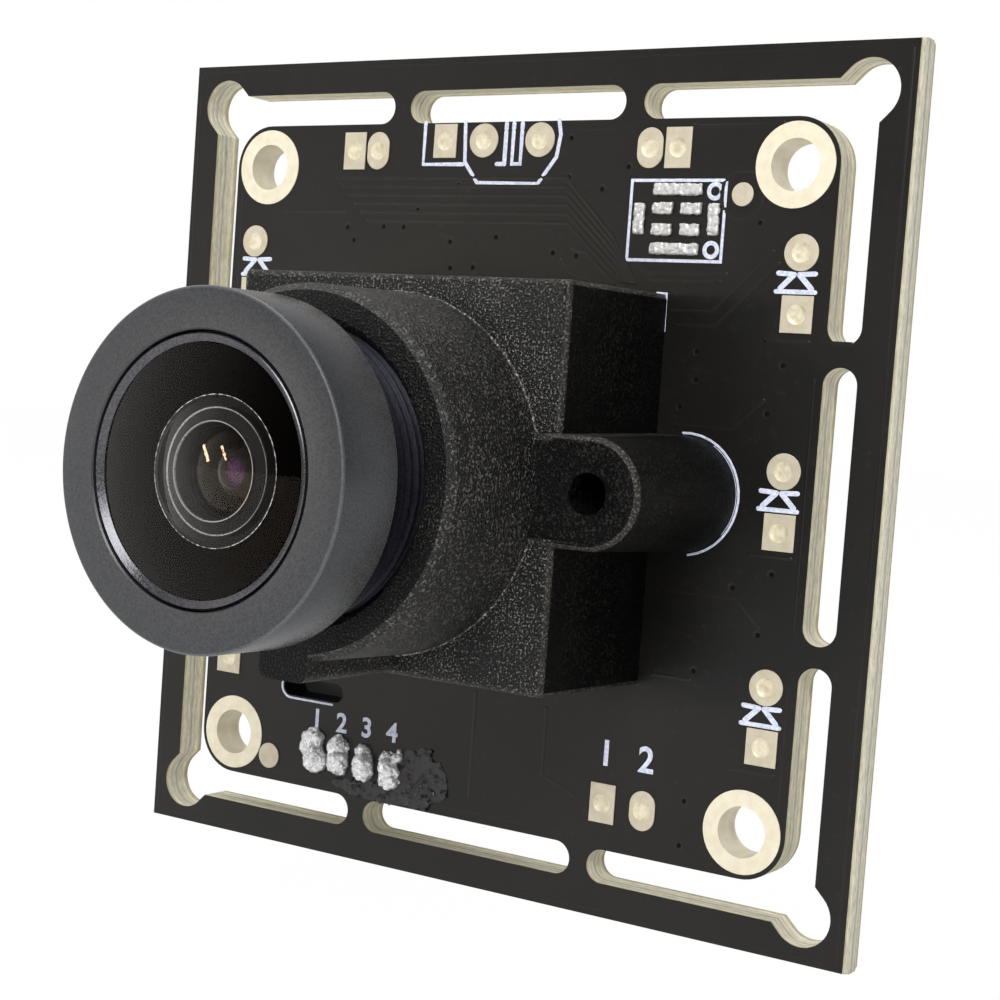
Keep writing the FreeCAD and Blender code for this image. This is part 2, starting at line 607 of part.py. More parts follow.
def make_lens_holder():
    body = new_body("lens_holder")
    base = new_sketch(body, "holder_base", lift="board_thickness")
    draw_box(base, "0", "0", "base_side", "base_side")
    block_feature = pad(body, base, "base_height", draft="-base_draft")
    rounded = round_edges(
        body, block_feature, lambda e: e.BoundBox.YMin < number(FRONT) - 1, "base_round", "base_edges")
    ears = new_sketch(body, "holder_ears", lift="board_thickness")
    draw_slot(ears, "0", "0", "ear_pitch + 2*ear_radius", "2*ear_radius")
    wings = pad(body, ears, "ear_height", draft="-ear_draft")
    face = number("(-board_thickness - ear_height)")
    round_edges(body, wings, lambda e: e.BoundBox.YMax < face + 1e-4, "ear_round", "ear_edges")
    boss = new_sketch(body, "holder_boss", "XY_Plane")
    draw_outline(boss, [
        ("0", BASE_FACE + " + 1"), ("boss_root_radius", BASE_FACE + " + 1"),
        ("boss_root_radius", BASE_FACE), ("boss_face_radius", BOSS_FACE + " + boss_bevel"),
        ("boss_face_radius - boss_bevel", BOSS_FACE), ("0", BOSS_FACE),
    ])
    turn(body, boss)
    rib = new_sketch(body, "holder_rib", lift="board_thickness + base_height - 1")
    foot, half = "(-rib_reach)", "(rib_width/2)"
    draw_outline(
        rib,
        [("-rib_width/2", "-boss_face_radius/2"), ("-rib_width/2", foot + " + rib_round"),
         ("-rib_width/2 + rib_round", foot), ("rib_width/2 - rib_round", foot),
         (half, foot + " + rib_round"), (half, "-boss_face_radius/2")],
        {1: ("y", foot + " + rib_round", 1), 3: ("y", foot + " + rib_round", 1)})
    pad(body, rib, "boss_height + 1")
    cavity = new_sketch(body, "sensor_space", lift="board_thickness")
    draw_round_box(cavity, "0", "0", "cavity_side", "cavity_side", "cavity_round")
    pocket(body, cavity, "cavity_depth", reverse=True)
    bore = new_sketch(body, "lens_bore", "XY_Plane")
    draw_outline(bore, [
        ("0", FRONT), ("bore_radius", FRONT), ("bore_radius", BOSS_FACE + " + bore_mouth"),
        ("bore_radius + bore_mouth", BOSS_FACE), ("bore_radius + bore_mouth", BOSS_FACE + " - 1"),
        ("0", BOSS_FACE + " - 1"),
    ])
    turn(body, bore, cut=True)
    pilots = new_sketch(body, "pilot_holes", lift="board_thickness")
    for side in (-1, 1):
        draw_circle(pilots, "%d*ear_pitch/2" % side, "0", "pilot_radius")
    pocket(body, pilots, "ear_height + 1", reverse=True)
    return body


# The lens

GLASS_EDGE = "(%s + retainer_bevel)" % HEAD_FRONT
GLASS_FRONT = "(%s - %s)" % (GLASS_EDGE, sag("glass_front_curve", "retainer_opening"))
BOWL_BOTTOM = "(%s + glass_middle)" % GLASS_FRONT
GLASS_BACK = "(%s + %s)" % (BOWL_BOTTOM, sag("glass_bowl_curve", "glass_bowl_radius"))
RING_BACK = "(%s + retainer_length)" % HEAD_FRONT
STACK_START = "(%s + seat_gap)" % GLASS_BACK
SECOND_START = "(%s + spacer_length)" % STACK_START
STOP_START = "(%s + second_length)" % SECOND_START
THIRD_START = "(%s + stop_thickness)" % STOP_START
REAR_SPACER_START = "(%s + third_length)" % THIRD_START
REAR_START = "(%s + rear_spacer_length)" % REAR_SPACER_START
REAR_END = "(%s + rear_length)" % REAR_START
REAR_RING_START = "(%s + seat_gap)" % REAR_END
REAR_RING_END = "(%s + rear_ring_length)" % REAR_RING_START
FILTER_SEAT = "(%s - 2*filter_thickness)" % BARREL_END


def make_lens_barrel():
    thread = "(bore_radius - thread_gap)"
    relief = "(bore_radius - thread_gap - relief_depth)"
    return turned_piece("lens_barrel", [
        ("retainer_radius + seat_gap", HEAD_FRONT),
        ("head_radius - head_edge", HEAD_FRONT),
        ("head_radius", HEAD_FRONT + " + head_edge"),
        ("head_radius", HEAD_BACK + " - head_edge"),
        ("head_radius - head_edge", HEAD_BACK),
        (relief, HEAD_BACK),
        (relief, HEAD_BACK + " + relief_length"),
        (thread, HEAD_BACK + " + relief_length + relief_depth"),
        (thread, BARREL_END + " - head_edge"),
        (thread + " - head_edge", BARREL_END),
        ("filter_recess", BARREL_END),
        ("filter_recess", FILTER_SEAT),
        ("stack_radius", FILTER_SEAT),
        ("stack_radius", GLASS_BACK),
        ("glass_radius + seat_gap", GLASS_BACK),
        ("glass_radius + seat_gap", RING_BACK),
        ("retainer_radius + seat_gap", RING_BACK),
    ])


def make_front_retainer():
    seat = "(%s + seat_gap)" % GLASS_EDGE
    return turned_piece("front_retainer", [
        ("retainer_radius", HEAD_FRONT), ("retainer_radius", RING_BACK),
        ("glass_radius + seat_gap", RING_BACK), ("glass_radius + seat_gap", seat),
        ("retainer_opening", seat), ("retainer_opening", HEAD_FRONT + " + retainer_bevel"),
    ])


def make_front_element():
    """A steep front meniscus: gently domed in front, with a deep bowl in its back."""
    shoulder = "(%s + 2*seat_gap)" % GLASS_EDGE
    return turned_piece(
        "front_element",
        [("0", GLASS_FRONT), ("0", BOWL_BOTTOM), ("glass_bowl_radius", GLASS_BACK),
         ("glass_radius", GLASS_BACK), ("glass_radius", shoulder),
         ("retainer_opening - seat_gap", shoulder),
         ("retainer_opening - seat_gap",
          "(%s + %s)" % (GLASS_FRONT, sag("glass_front_curve", "(retainer_opening - seat_gap)")))],
        {1: ("x", "0", 1), 6: ("x", "0", -1)})


def make_spacer_ring():
    return turned_piece("spacer_ring", [
        ("spacer_mouth", STACK_START), ("stack_radius - seat_gap", STACK_START),
        ("stack_radius - seat_gap", SECOND_START), ("spacer_throat", SECOND_START),
        ("spacer_throat", STACK_START + " + spacer_length*0.55"),
    ])


def make_second_element():
    """Flat behind, domed in front inside the spacer's throat."""
    dome = sag("second_curve", "(spacer_throat - seat_gap)")
    return turned_piece(
        "second_element",
        [("0", "(%s - %s)" % (SECOND_START, dome)), ("0", STOP_START),
         ("stack_radius - seat_gap", STOP_START), ("stack_radius - seat_gap", SECOND_START),
         ("spacer_throat - seat_gap", SECOND_START)],
        {4: ("x", "0", -1)})


def make_aperture_stop():
    return turned_piece("aperture_stop", [
        ("stop_radius", STOP_START), ("stack_radius - seat_gap", STOP_START),
        ("stack_radius - seat_gap", THIRD_START), ("stop_radius + stop_thickness", THIRD_START),
    ])


def make_third_element():
    """Flat in front, hollow behind with a flat rim."""
    hollow = sag("third_curve", "third_face_radius")
    return turned_piece(
        "third_element",
        [("0", THIRD_START), ("0", "(%s - %s)" % (REAR_SPACER_START, hollow)),
         ("third_face_radius", REAR_SPACER_START), ("stack_radius - seat_gap", REAR_SPACER_START),
         ("stack_radius - seat_gap", THIRD_START)],
        {1: ("x", "0", 1)})


def make_rear_spacer():
    return turned_piece("rear_spacer", [
        ("rear_spacer_opening", REAR_SPACER_START), ("stack_radius - seat_gap", REAR_SPACER_START),
        ("stack_radius - seat_gap", REAR_START), ("rear_spacer_opening", REAR_START),
    ])


def make_rear_element():
    """Flat in front, domed behind inside the rear ring."""
    dome = sag("rear_curve", "(rear_ring_opening - seat_gap)")
    return turned_piece(
        "rear_element",
        [("0", REAR_START), ("0", "(%s + %s)" % (REAR_END, dome)),
         ("rear_ring_opening - seat_gap", REAR_END), ("stack_radius - seat_gap", REAR_END),
         ("stack_radius - seat_gap", REAR_START)],
        {1: ("x", "0", -1)})


def make_rear_retainer():
    return turned_piece("rear_retainer", [
        ("rear_ring_opening", REAR_RING_START), ("stack_radius - seat_gap", REAR_RING_START),
        ("stack_radius - seat_gap", REAR_RING_END),
        ("rear_ring_opening + retainer_bevel", REAR_RING_END),
        ("rear_ring_opening", REAR_RING_END + " - retainer_bevel"),
    ])


def make_infrared_filter():
    """A thin square plate glued into the recess in the barrel's end."""
    body = new_body("infrared_filter")
    plate = new_sketch(body, "filter_plate", lift="-%s - seat_gap" % FILTER_SEAT)
    draw_box(plate, "0", "0", "filter_side", "filter_side")
    pad(body, plate, "filter_thickness", reverse=True)
    return body


def make_holder_screws():
    """Two pan-headed screws from the rear into the ears. Their thread's crests, which bite into the
    ears, are left off."""
    body = new_body("holder_screws")
    profile = new_sketch(body, "screw_profile", "XY_Plane", right="ear_pitch/2")
    draw_outline(profile, [
        ("0", "screw_head_height"), ("screw_crown_radius", "screw_head_height"),
        ("screw_head_radius", "screw_head_height/2"), ("screw_head_radius", "0"),
        ("screw_shank_radius", "0"), ("screw_shank_radius", "screw_shank_radius - screw_length"),
        ("0", "-screw_length"),
    ])
    shank = turn(body, profile)
    cross = new_sketch(body, "cross_recess", right="ear_pitch/2", lift="-screw_head_height")
    far, near = "(recess_length/2)", "(recess_width/2)"
    draw_outline(cross, [
        (near, near), (near, far), ("-" + near, far), ("-" + near, near), ("-" + far, near),
        ("-" + far, "-" + near), ("-" + near, "-" + near), ("-" + near, "-" + far),
        (near, "-" + far), (near, "-" + near), (far, "-" + near), (far, near),
    ])
    repeat_round(body, [shank, pocket(body, cross, "recess_depth", reverse=True)], 2)
    return body


# The sensor

def make_image_sensor():
    """A shallow package with a well for the die."""
    body = new_body("image_sensor")
    outline = new_sketch(body, "sensor_outline", lift="board_thickness")
    draw_box(outline, "0", "0", "sensor_width", "sensor_height")
    pad(body, outline, "sensor_thickness")
    well = new_sketch(body, "sensor_well", lift="board_thickness + sensor_thickness")
    draw_box(well, "0", "0", "sensor_width - 2*sensor_wall", "sensor_height - 2*sensor_wall")
    pocket(body, well, "well_depth")
    return body


def make_plate(label, width, height, lift, thickness):
    """A flat plate on the lens axis, from lift towards -Y."""
    body = new_body(label)
    outline = new_sketch(body, label + "_outline", lift=lift)
    draw_box(outline, "0", "0", width, height)
    pad(body, outline, thickness)
    return body


def make_sensor_die():
    lift = "board_thickness + sensor_thickness - well_depth"
    return make_plate("sensor_die", "die_width", "die_height", lift, "die_thickness")


def make_sensor_cover_glass():
    return make_plate(
        "sensor_cover_glass", "sensor_width - 2*cover_margin", "sensor_height - 2*cover_margin",
        "board_thickness + sensor_thickness", "cover_thickness")


# The rear of the board

def make_cable_connector():
    """A four-way shrouded header that opens to the rear, keyed by two slots in its lower wall."""
    body = new_body("cable_connector")
    width = "(3*pin_pitch + 2*housing_end)"
    inner_height = "(housing_height - 2*housing_wall)"
    outline = new_sketch(body, "housing_outline")
    draw_round_box(outline, "connector_x", "connector_z", width, "housing_height", "housing_wall/2")
    pad(body, outline, "housing_depth", reverse=True)
    socket = new_sketch(body, "housing_socket", lift="-housing_depth")
    draw_box(socket, "connector_x", "connector_z", width + " - 2*housing_wall", inner_height)
    pocket(body, socket, "housing_depth - housing_floor", reverse=True)
    keys = new_sketch(body, "key_slots", lift="-housing_depth")
    for side in (-1, 1):
        draw_box(
            keys, "connector_x + %d*key_place" % side,
            "connector_z - housing_height/2 + housing_wall/2", "key_width", "2*housing_wall")
    pocket(body, keys, "(housing_depth - housing_floor)*0.7", reverse=True)
    holes = new_sketch(body, "pin_seats")
    for pin in range(4):
        draw_box(holes, pin_place(pin), "connector_z", "pin_side", "pin_side")
    pocket(body, holes, "housing_floor")
    return body


def make_connector_pins():
    body = new_body("connector_pins")
    pin = new_sketch(body, "pin_section", lift="pin_setback - housing_depth")
    draw_box(pin, pin_place(0), "connector_z", "pin_side", "pin_side")
    post = pad(body, pin, "housing_depth - pin_setback + board_thickness + pin_tip")
    ends = ["Edge%d" % (i + 1) for i, edge in enumerate(post.Shape.Edges)
            if edge.BoundBox.YLength < 1e-6]
    bevel = body.newObject("PartDesign::Chamfer", "pin_ends")
    bevel.Base = (post, ends)
    bevel.setExpression("Size", bind("pin_side/5"))
    doc.recompute()
    repeat_along(body, [post, bevel], "X_Axis", 4, "pin_pitch")
    return body


def make_connector_solder_joints():
    """Solder that fills each pin's hole and stands up round the pin in front of the board."""
    body = new_body("connector_solder_joints")
    profile = new_sketch(
        body, "joint_profile", "XY_Plane", right=pin_place(0), lift="connector_z")
    tip = FRONT + " - joint_height"
    draw_outline(profile, [
        ("0", "0"), ("pin_hole_radius", "0"), ("pin_hole_radius", FRONT), ("joint_radius", FRONT),
        ("joint_tip_radius", tip), ("0", tip),
    ])
    joint = turn(body, profile)
    seat = new_sketch(body, "joint_seat", lift="board_thickness + joint_height + 1")
    draw_box(seat, pin_place(0), "connector_z", "pin_side", "pin_side")
    through = pocket(body, seat, "board_thickness + joint_height + 2")
    repeat_along(body, [joint, through], "X_Axis", 4, "pin_pitch")
    return body


def place_on_rear(body, x, z):
    body.setExpression("Placement.Base.x", bind(x))
    body.setExpression("Placement.Base.z", bind(z))
    return body


def moulded_chip(label, width, height, thickness):
    """A moulded chip body with draft on both halves, standing just off the rear face."""
    body = new_body(label)
    middle = "(chip_standoff + %s/2)" % thickness
    for half, away in (("rear", True), ("front", False)):
        sketch = new_sketch(body, "%s_%s" % (label, half), lift="-" + middle)
        draw_box(sketch, "0", "0", width, height)
        pad(body, sketch, thickness + "/2", reverse=away, draft="-chip_draft")
    return body


def bent_lead(body, side, thickness, place, width):
    """One bent lead on the chip's +Z side, at place along X."""
    middle = "(chip_standoff + %s/2)" % thickness
    upper, lower = middle + " + lead_thickness/2", middle + " - lead_thickness/2"
    end = "(%s + lead_reach)" % side
    foot, knee = "(%s - lead_foot)" % end, "(%s + (lead_reach - lead_foot)/2)" % side
    sketch = new_sketch(body, body.Name + "_bend", "YZ_Plane", lift=place)
    draw_outline(sketch, [
        (upper, side), (upper, knee), ("lead_thickness", foot), ("lead_thickness", end), ("0", end),
        ("0", foot + " - lead_thickness"), (lower, knee + " - lead_thickness"), (lower, side),
    ])
    feature = body.newObject("PartDesign::Pad", body.Name + "_lead")
    feature.Profile = sketch
    feature.setExpression("Length", bind(width))
    feature.Midplane = True
    doc.recompute()
    return feature


def lead_rows(label, side, thickness, count, pitch, width, rows):
    """Rows of bent leads round a chip: count leads in each of two or four rows."""
    body = new_body(label)
    first = "(-%g*%s)" % ((count - 1) / 2, pitch)
    lead = bent_lead(body, side, thickness, first, width)
    row = body.newObject("PartDesign::LinearPattern", label + "_row")
    row.Direction = (origin_part(body, "X_Axis"), [""])
    row.Mode = "Spacing"
    row.setExpression("Offset", bind(pitch))
    row.Occurrences = count
    ring = body.newObject("PartDesign::PolarPattern", label + "_round")
    ring.Axis = (origin_part(body, "Y_Axis"), [""])
    ring.Angle = 360
    ring.Occurrences = rows
    both = body.newObject("PartDesign::MultiTransform", label + "_rows")
    both.Originals = [lead]
    both.Transformations = [row, ring]
    body.Tip = both
    doc.recompute()
    return body


def make_controller_chip():
    body = moulded_chip("controller_chip", "chip_side", "chip_side", "chip_thickness")
    mark = new_sketch(body, "first_pin_mark", lift="-chip_standoff - chip_thickness")
    draw_circle(mark, "-chip_side/2 + 1.1", "-chip_side/2 + 1.1", "chip_side/16")
    pocket(body, mark, "chip_standoff", reverse=True)
    return place_on_rear(body, "chip_x", "chip_z")


def make_controller_leads():
    body = lead_rows(
        "controller_leads", "(chip_side/2)", "chip_thickness", 12, "lead_pitch", "lead_width", 4)
    return place_on_rear(body, "chip_x", "chip_z")


def make_memory_chip():
    body = moulded_chip("memory_chip", "flash_side", "flash_side", "chip_thickness")
    return place_on_rear(body, "flash_x", "flash_z")


def make_memory_leads():
    body = lead_rows(
        "memory_leads", "(flash_side/2)", "chip_thickness", 4, "flash_pitch", "flash_lead_width", 2)
    return place_on_rear(body, "flash_x", "flash_z")


def make_voltage_regulators():
    """Two regulators, one above the other, lying on their sides."""
    body = moulded_chip(
        "voltage_regulators", "regulator_height", "regulator_width", "regulator_thickness")
    halves = [item for item in body.Group if item.isDerivedFrom("PartDesign::Pad")]
    repeat_along(body, halves, "Z_Axis", 2, "regulator_step")
    return place_on_rear(body, "regulator_x", "regulator_z")


def make_regulator_leads():
    body = lead_rows(
        "regulator_leads", "(regulator_width/2)", "regulator_thickness", 3, "regulator_pitch",
        "regulator_lead_width", 2)
    row = body.newObject("PartDesign::LinearPattern", "regulator_lead_pairs")
    row.Direction = (origin_part(body, "Z_Axis"), [""])
    row.Mode = "Spacing"
    row.setExpression("Offset", bind("regulator_step"))
    row.Occurrences = 2
    both = next(item for item in body.Group if item.isDerivedFrom("PartDesign::MultiTransform"))
    both.Transformations = both.Transformations + [row]
    body.Tip = both
    doc.recompute()
    return place_on_rear(body, "regulator_x", "regulator_z")


def rear_block(label, x, z, width, height, thickness, rounding):
    """A part with rounded corners standing on the rear face."""
    body = new_body(label)
    outline = new_sketch(body, label + "_outline")
    draw_round_box(outline, "0", "0", width, height, rounding)
    pad(body, outline, thickness, reverse=True)
    return place_on_rear(body, x, z)


def make_clock_crystal():
    """A lidded metal can: a low base with a slightly smaller lid."""
    body = rear_block(
        "clock_crystal", "crystal_x", "crystal_z", "crystal_width", "crystal_height",
        "crystal_thickness/2", "crystal_height/12")
    lid = new_sketch(body, "crystal_lid", lift="-crystal_thickness/2")
    draw_round_box(
        lid, "0", "0", "crystal_width*0.9", "crystal_height*0.88", "crystal_height/8")
    pad(body, lid, "crystal_thickness/2", reverse=True)
    return body


def make_power_inductor():
    """A square ferrite block with a round winding well filled level with its top."""
    body = rear_block(
        "power_inductor", "inductor_x", "inductor_z", "inductor_side", "inductor_side",
        "inductor_thickness", "inductor_side/10")
    groove = new_sketch(body, "inductor_groove", lift="-inductor_thickness")
    draw_circle(groove, "0", "0", "inductor_side*0.42")
    draw_circle(groove, "0", "0", "inductor_side*0.36")
    pocket(body, groove, "inductor_thickness/12", reverse=True)
    return body


def make_line_choke():
    """The choke on the data lines. It covers the small slot in the board from behind."""
    body = rear_block(
        "line_choke", "window_x", "window_z", "choke_width", "choke_height", "choke_thickness",
        "choke_height/12")
    waist = new_sketch(body, "choke_waist", lift="-choke_thickness")
    draw_box(waist, "0", "0", "choke_width*0.5", "choke_height*1.5")
    pocket(body, waist, "choke_thickness/8", reverse=True)
    return body


# Small parts on the rear: the middle of each, and whether it lies along X or stands along Z.
CAPACITORS = [
    (-5.6, 5.6, "z"), (-5.6, 2.8, "z"), (-5.6, 0.0, "z"), (6.6, 5.6, "z"), (6.6, 2.6, "z"),
    (-2.2, 9.2, "x"), (0.4, 9.2, "x"), (3.0, 9.2, "x"), (13.4, 10.2, "z"), (13.4, 5.4, "z"),
    (-10.6, 11.2, "x"), (-7.2, 8.4, "z"),
]
RESISTORS = [
    (2.2, -3.9, "x"), (4.9, -3.9, "x"), (1.4, -8.2, "z"), (3.0, -8.2, "z"), (4.4, -13.4, "x"),
    (1.8, -13.4, "x"), (-4.8, -9.4, "x"), (-12.9, -5.4, "z"), (-12.9, -8.2, "z"),
]


def small_block(name, place, start, length, width, thickness):
    """A box lying along the part's own length, from start along it, standing on the rear face."""
    x, z, lie = place
    box = doc.addObject("Part::Box", name)
    along, across = ("Length", "Height") if lie == "x" else ("Height", "Length")
    box.setExpression(along, bind(length))
    box.setExpression(across, bind(width))
    box.setExpression("Width", bind(thickness))
    low_x = "%g + %s" % (x, start) if lie == "x" else "%g - (%s)/2" % (x, width)
    low_z = "%g + %s" % (z, start) if lie == "z" else "%g - (%s)/2" % (z, width)
    box.setExpression("Placement.Base.x", bind(low_x))
    box.setExpression("Placement.Base.z", bind(low_z))
    return box


def small_bodies(label, places, thickness):
    """The middles of the small parts, between their metal ends."""
    start, length = "terminal_length - chip_part_length/2", "chip_part_length - 2*terminal_length"
    return group(label, [
        small_block("%s_%d" % (label, i), place, start, length, "chip_part_width*0.96", thickness)
        for i, place in enumerate(places)])


def make_chip_capacitors():
    return small_bodies("chip_capacitors", CAPACITORS, "capacitor_thickness*0.97")


def make_chip_resistors():
    return small_bodies("chip_resistors", RESISTORS, "resistor_thickness*0.97")


def make_chip_terminals():
    """The metal ends of all the small parts."""
    ends = []
    for kind, places in (("capacitor", CAPACITORS), ("resistor", RESISTORS)):
        for i, place in enumerate(places):
            for end, start in enumerate(
                    ("-chip_part_length/2", "chip_part_length/2 - terminal_length")):
                name = "%s_end_%d%d" % (kind, i, end)
                ends.append(small_block(
                    name, place, start, "terminal_length", "chip_part_width", kind + "_thickness"))
    return group("chip_terminals", ends)


BUILDERS = [
    make_main_board, make_mounting_hole_lands, make_contact_pads, make_tinned_pads,
    make_lens_holder, make_lens_barrel, make_front_retainer, make_front_element, make_spacer_ring,
    make_second_element, make_aperture_stop, make_third_element, make_rear_spacer,
    make_rear_element, make_rear_retainer, make_infrared_filter, make_holder_screws,
    make_image_sensor, make_sensor_die, make_sensor_cover_glass, make_cable_connector,
    make_connector_pins, make_connector_solder_joints, make_controller_chip,
    make_controller_leads, make_memory_chip, make_memory_leads, make_voltage_regulators,
    make_regulator_leads, make_clock_crystal, make_power_inductor, make_line_choke,
    make_chip_capacitors, make_chip_resistors, make_chip_terminals,
]
nodes = [build() for build in BUILDERS]
doc.recompute()

for item in doc.Objects:
    if "Invalid" in item.State or "Error" in item.State:
        raise RuntimeError("%s failed: %s" % (item.Label, item.State))
for node in nodes:
    if node.Shape.isNull() or not node.Shape.isValid():
        raise RuntimeError("%s has no valid shape" % node.Label)

os.makedirs("parts", exist_ok=True)
for node in nodes:
    node.Shape.exportStep("parts/%s.step" % node.Label)
    print("%-26s %d solids %10.3f mm3" % (node.Label, len(node.Shape.Solids), node.Shape.Volume))
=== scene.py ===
# %% [markdown]
# # A board camera
#
# The object is a small square circuit board with a break-away rim. A moulded plastic holder is
# screwed to its front, and a wide-angle lens is screwed into the holder. The solid model gives
# every size and place. This lesson dresses it: it adds what a solid model leaves out, such as
# print, traces and solder, and gives each surface its finish.
#
# Lengths are in metres, as the frame wants them, so sizes are written in millimetres times MM. The
# lens looks along -Y, and +Z is up.

# %% The frame
import json
import math

import bpy
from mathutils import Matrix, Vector, noise

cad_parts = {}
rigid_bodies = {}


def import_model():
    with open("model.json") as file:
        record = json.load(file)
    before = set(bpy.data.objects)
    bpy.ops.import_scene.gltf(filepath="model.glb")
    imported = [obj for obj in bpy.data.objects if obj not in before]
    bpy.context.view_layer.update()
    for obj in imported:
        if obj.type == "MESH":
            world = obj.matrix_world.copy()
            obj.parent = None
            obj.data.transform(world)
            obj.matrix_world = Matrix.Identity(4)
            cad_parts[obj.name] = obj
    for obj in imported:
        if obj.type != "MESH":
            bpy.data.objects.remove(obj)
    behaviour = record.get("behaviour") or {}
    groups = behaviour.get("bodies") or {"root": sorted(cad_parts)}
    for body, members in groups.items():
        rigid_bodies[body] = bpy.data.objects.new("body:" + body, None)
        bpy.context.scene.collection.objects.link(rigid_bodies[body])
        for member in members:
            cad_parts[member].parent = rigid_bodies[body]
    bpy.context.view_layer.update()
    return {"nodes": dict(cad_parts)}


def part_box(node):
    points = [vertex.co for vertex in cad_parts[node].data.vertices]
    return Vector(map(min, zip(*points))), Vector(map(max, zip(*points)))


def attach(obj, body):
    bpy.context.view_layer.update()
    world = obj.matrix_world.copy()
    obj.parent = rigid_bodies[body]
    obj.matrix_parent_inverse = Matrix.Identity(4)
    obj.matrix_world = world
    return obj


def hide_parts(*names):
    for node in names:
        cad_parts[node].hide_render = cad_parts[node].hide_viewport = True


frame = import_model()
MM = 0.001

# %% [markdown]
# ## Helpers for modelling
#
# Every operator acts on what is selected, and the loaded solids come selected. So each piece starts
# by clearing the selection. Faces are then picked by their place or direction, as one would by
# clicking on them.

# %% Selecting and editing


def clear_selection():
    if bpy.context.object and bpy.context.object.mode != "OBJECT":
        bpy.ops.object.mode_set(mode="OBJECT")
    bpy.ops.object.select_all(action="DESELECT")


def make_active(piece):
    clear_selection()
    piece.select_set(True)
    bpy.context.view_layer.objects.active = piece


def edit(piece, kind="FACE", pick=None):
    """Go into edit mode and select the faces, edges or vertices that pick(item, mesh) accepts."""
    make_active(piece)
    bpy.ops.object.mode_set(mode="EDIT")
    bpy.ops.mesh.select_mode(type=kind)
    bpy.ops.mesh.select_all(action="SELECT" if pick is None else "DESELECT")
    if pick is None:
        return
    bpy.ops.object.mode_set(mode="OBJECT")
    mesh = piece.data
    items = {"FACE": mesh.polygons, "EDGE": mesh.edges, "VERT": mesh.vertices}[kind]
    for item in items:
        item.select = bool(pick(item, mesh))
    bpy.ops.object.mode_set(mode="EDIT")


def leave_edit():
    bpy.ops.object.mode_set(mode="OBJECT")


print("helpers for", len(frame["nodes"]), "solids")

# %% [markdown]
# A modifier is applied at once, so that the next step can pick faces of its result. Leaving it on
# the stack would keep it editable, but then its faces can't be told apart. A finished piece has
# its place put into its mesh, rides on one of the moving bodies, and says which kind of surface it
# has.

# %% Modifiers and finished pieces


def apply_modifier(piece, kind, **settings):
    make_active(piece)
    modifier = piece.modifiers.new(kind.lower(), kind)
    for name, value in settings.items():
        setattr(modifier, name, value)
    bpy.ops.object.modifier_apply(modifier=modifier.name)


def finish_piece(piece, name, body, materials, angle=35):
    """Put the place into the mesh, smooth the shading and say what the piece rides on."""
    make_active(piece)
    bpy.ops.object.transform_apply(location=True, rotation=True, scale=True)
    bpy.ops.object.shade_smooth_by_angle(angle=math.radians(angle))
    piece.name = name
    piece.data.name = name
    piece.data.materials.clear()
    for material in materials:
        piece.data.materials.append(material)
    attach(piece, body)
    print("%-22s %6d faces" % (name, len(piece.data.polygons)))
    return piece


def join(pieces):
    clear_selection()
    for piece in pieces:
        piece.select_set(True)
    bpy.context.view_layer.objects.active = pieces[0]
    if len(pieces) > 1:
        bpy.ops.object.join()
    return pieces[0]


# %% [markdown]
# ## Helpers for finishes
#
# A colour is written as it would be picked from a picture, in sRGB, and turned into the linear
# values that the shader wants. One function adds a node, sets what is plain and links the rest.
# Patterns read Object coordinates, which are metres here, so their scale comes from a real size.

# %% Colours and nodes
# The Mix node has sockets for every data type, and these are the ones for colours.
MIX_FACTOR, MIX_A, MIX_B, MIX_OUT = 0, 6, 7, 2


def linear(code):
    parts = [int(code[i:i + 2], 16) / 255 for i in (1, 3, 5)]
    return [c / 12.92 if c <= 0.04045 else ((c + 0.055) / 1.055) ** 2.4 for c in parts] + [1.0]


def node(tree, kind, settings=None, inputs=None):
    """Add a node. settings are its own, inputs are plain values or other nodes' sockets."""
    new = tree.nodes.new("ShaderNode" + kind)
    for name, value in (settings or {}).items():
        setattr(new, name, value)
    for place, value in (inputs or {}).items():
        if isinstance(value, bpy.types.NodeSocket):
            tree.links.new(value, new.inputs[place])
        else:
            new.inputs[place].default_value = value
    return new


def finish(name, colour, roughness, **sockets):
    """A new material and its node tree and shader. Constants sit on the shader's own sockets."""
    material = bpy.data.materials.new(name)
    material.use_nodes = True
    shader = material.node_tree.nodes["Principled BSDF"]
    shader.inputs["Base Color"].default_value = linear(colour)
    shader.inputs["Roughness"].default_value = roughness
    for socket, value in sockets.items():
        shader.inputs[socket.replace("_", " ")].default_value = value
    return material, material.node_tree, shader


print("mid grey is linear %.3f" % linear("#808080")[0])

# %% [markdown]
# No real surface is one even colour. Noise gives soft spots of a real size, a ramp turns them into
# shades, and a bump turns them into relief. Painting an image could do it too, but noise needs no
# unwrapping and stays sharp in a close view.

# %% Patterns


def spots(tree, size, detail=3.0, rough=0.55, stretch=None):
    """Soft random spots of about that size in mm. stretch draws them out along an axis."""
    place = node(tree, "TexCoord").outputs["Object"]
    if stretch:
        place = node(tree, "Mapping", {}, {"Vector": place, "Scale": stretch}).outputs[0]
    return node(tree, "TexNoise", {}, {
        "Vector": place, "Scale": 1 / (size * MM), "Detail": detail, "Roughness": rough}).outputs[0]


def ramp(tree, value, stops):
    """Turn a value into a colour through (place, hex colour) stops."""
    new = node(tree, "ValToRGB", {}, {"Fac": value})
    elements = new.color_ramp.elements
    for element, (place, code) in zip((elements[0], elements[1]), (stops[0], stops[-1])):
        element.position = place
        element.color = linear(code)
    for place, code in stops[1:-1]:
        elements.new(place).color = linear(code)
    return new.outputs[0]


def spread(tree, value, low, high):
    """Carry a value from the 0.3 to 0.7 where noise mostly lies to low to high."""
    return node(tree, "MapRange", {}, {
        "Value": value, "From Min": 0.3, "From Max": 0.7, "To Min": low, "To Max": high}).outputs[0]


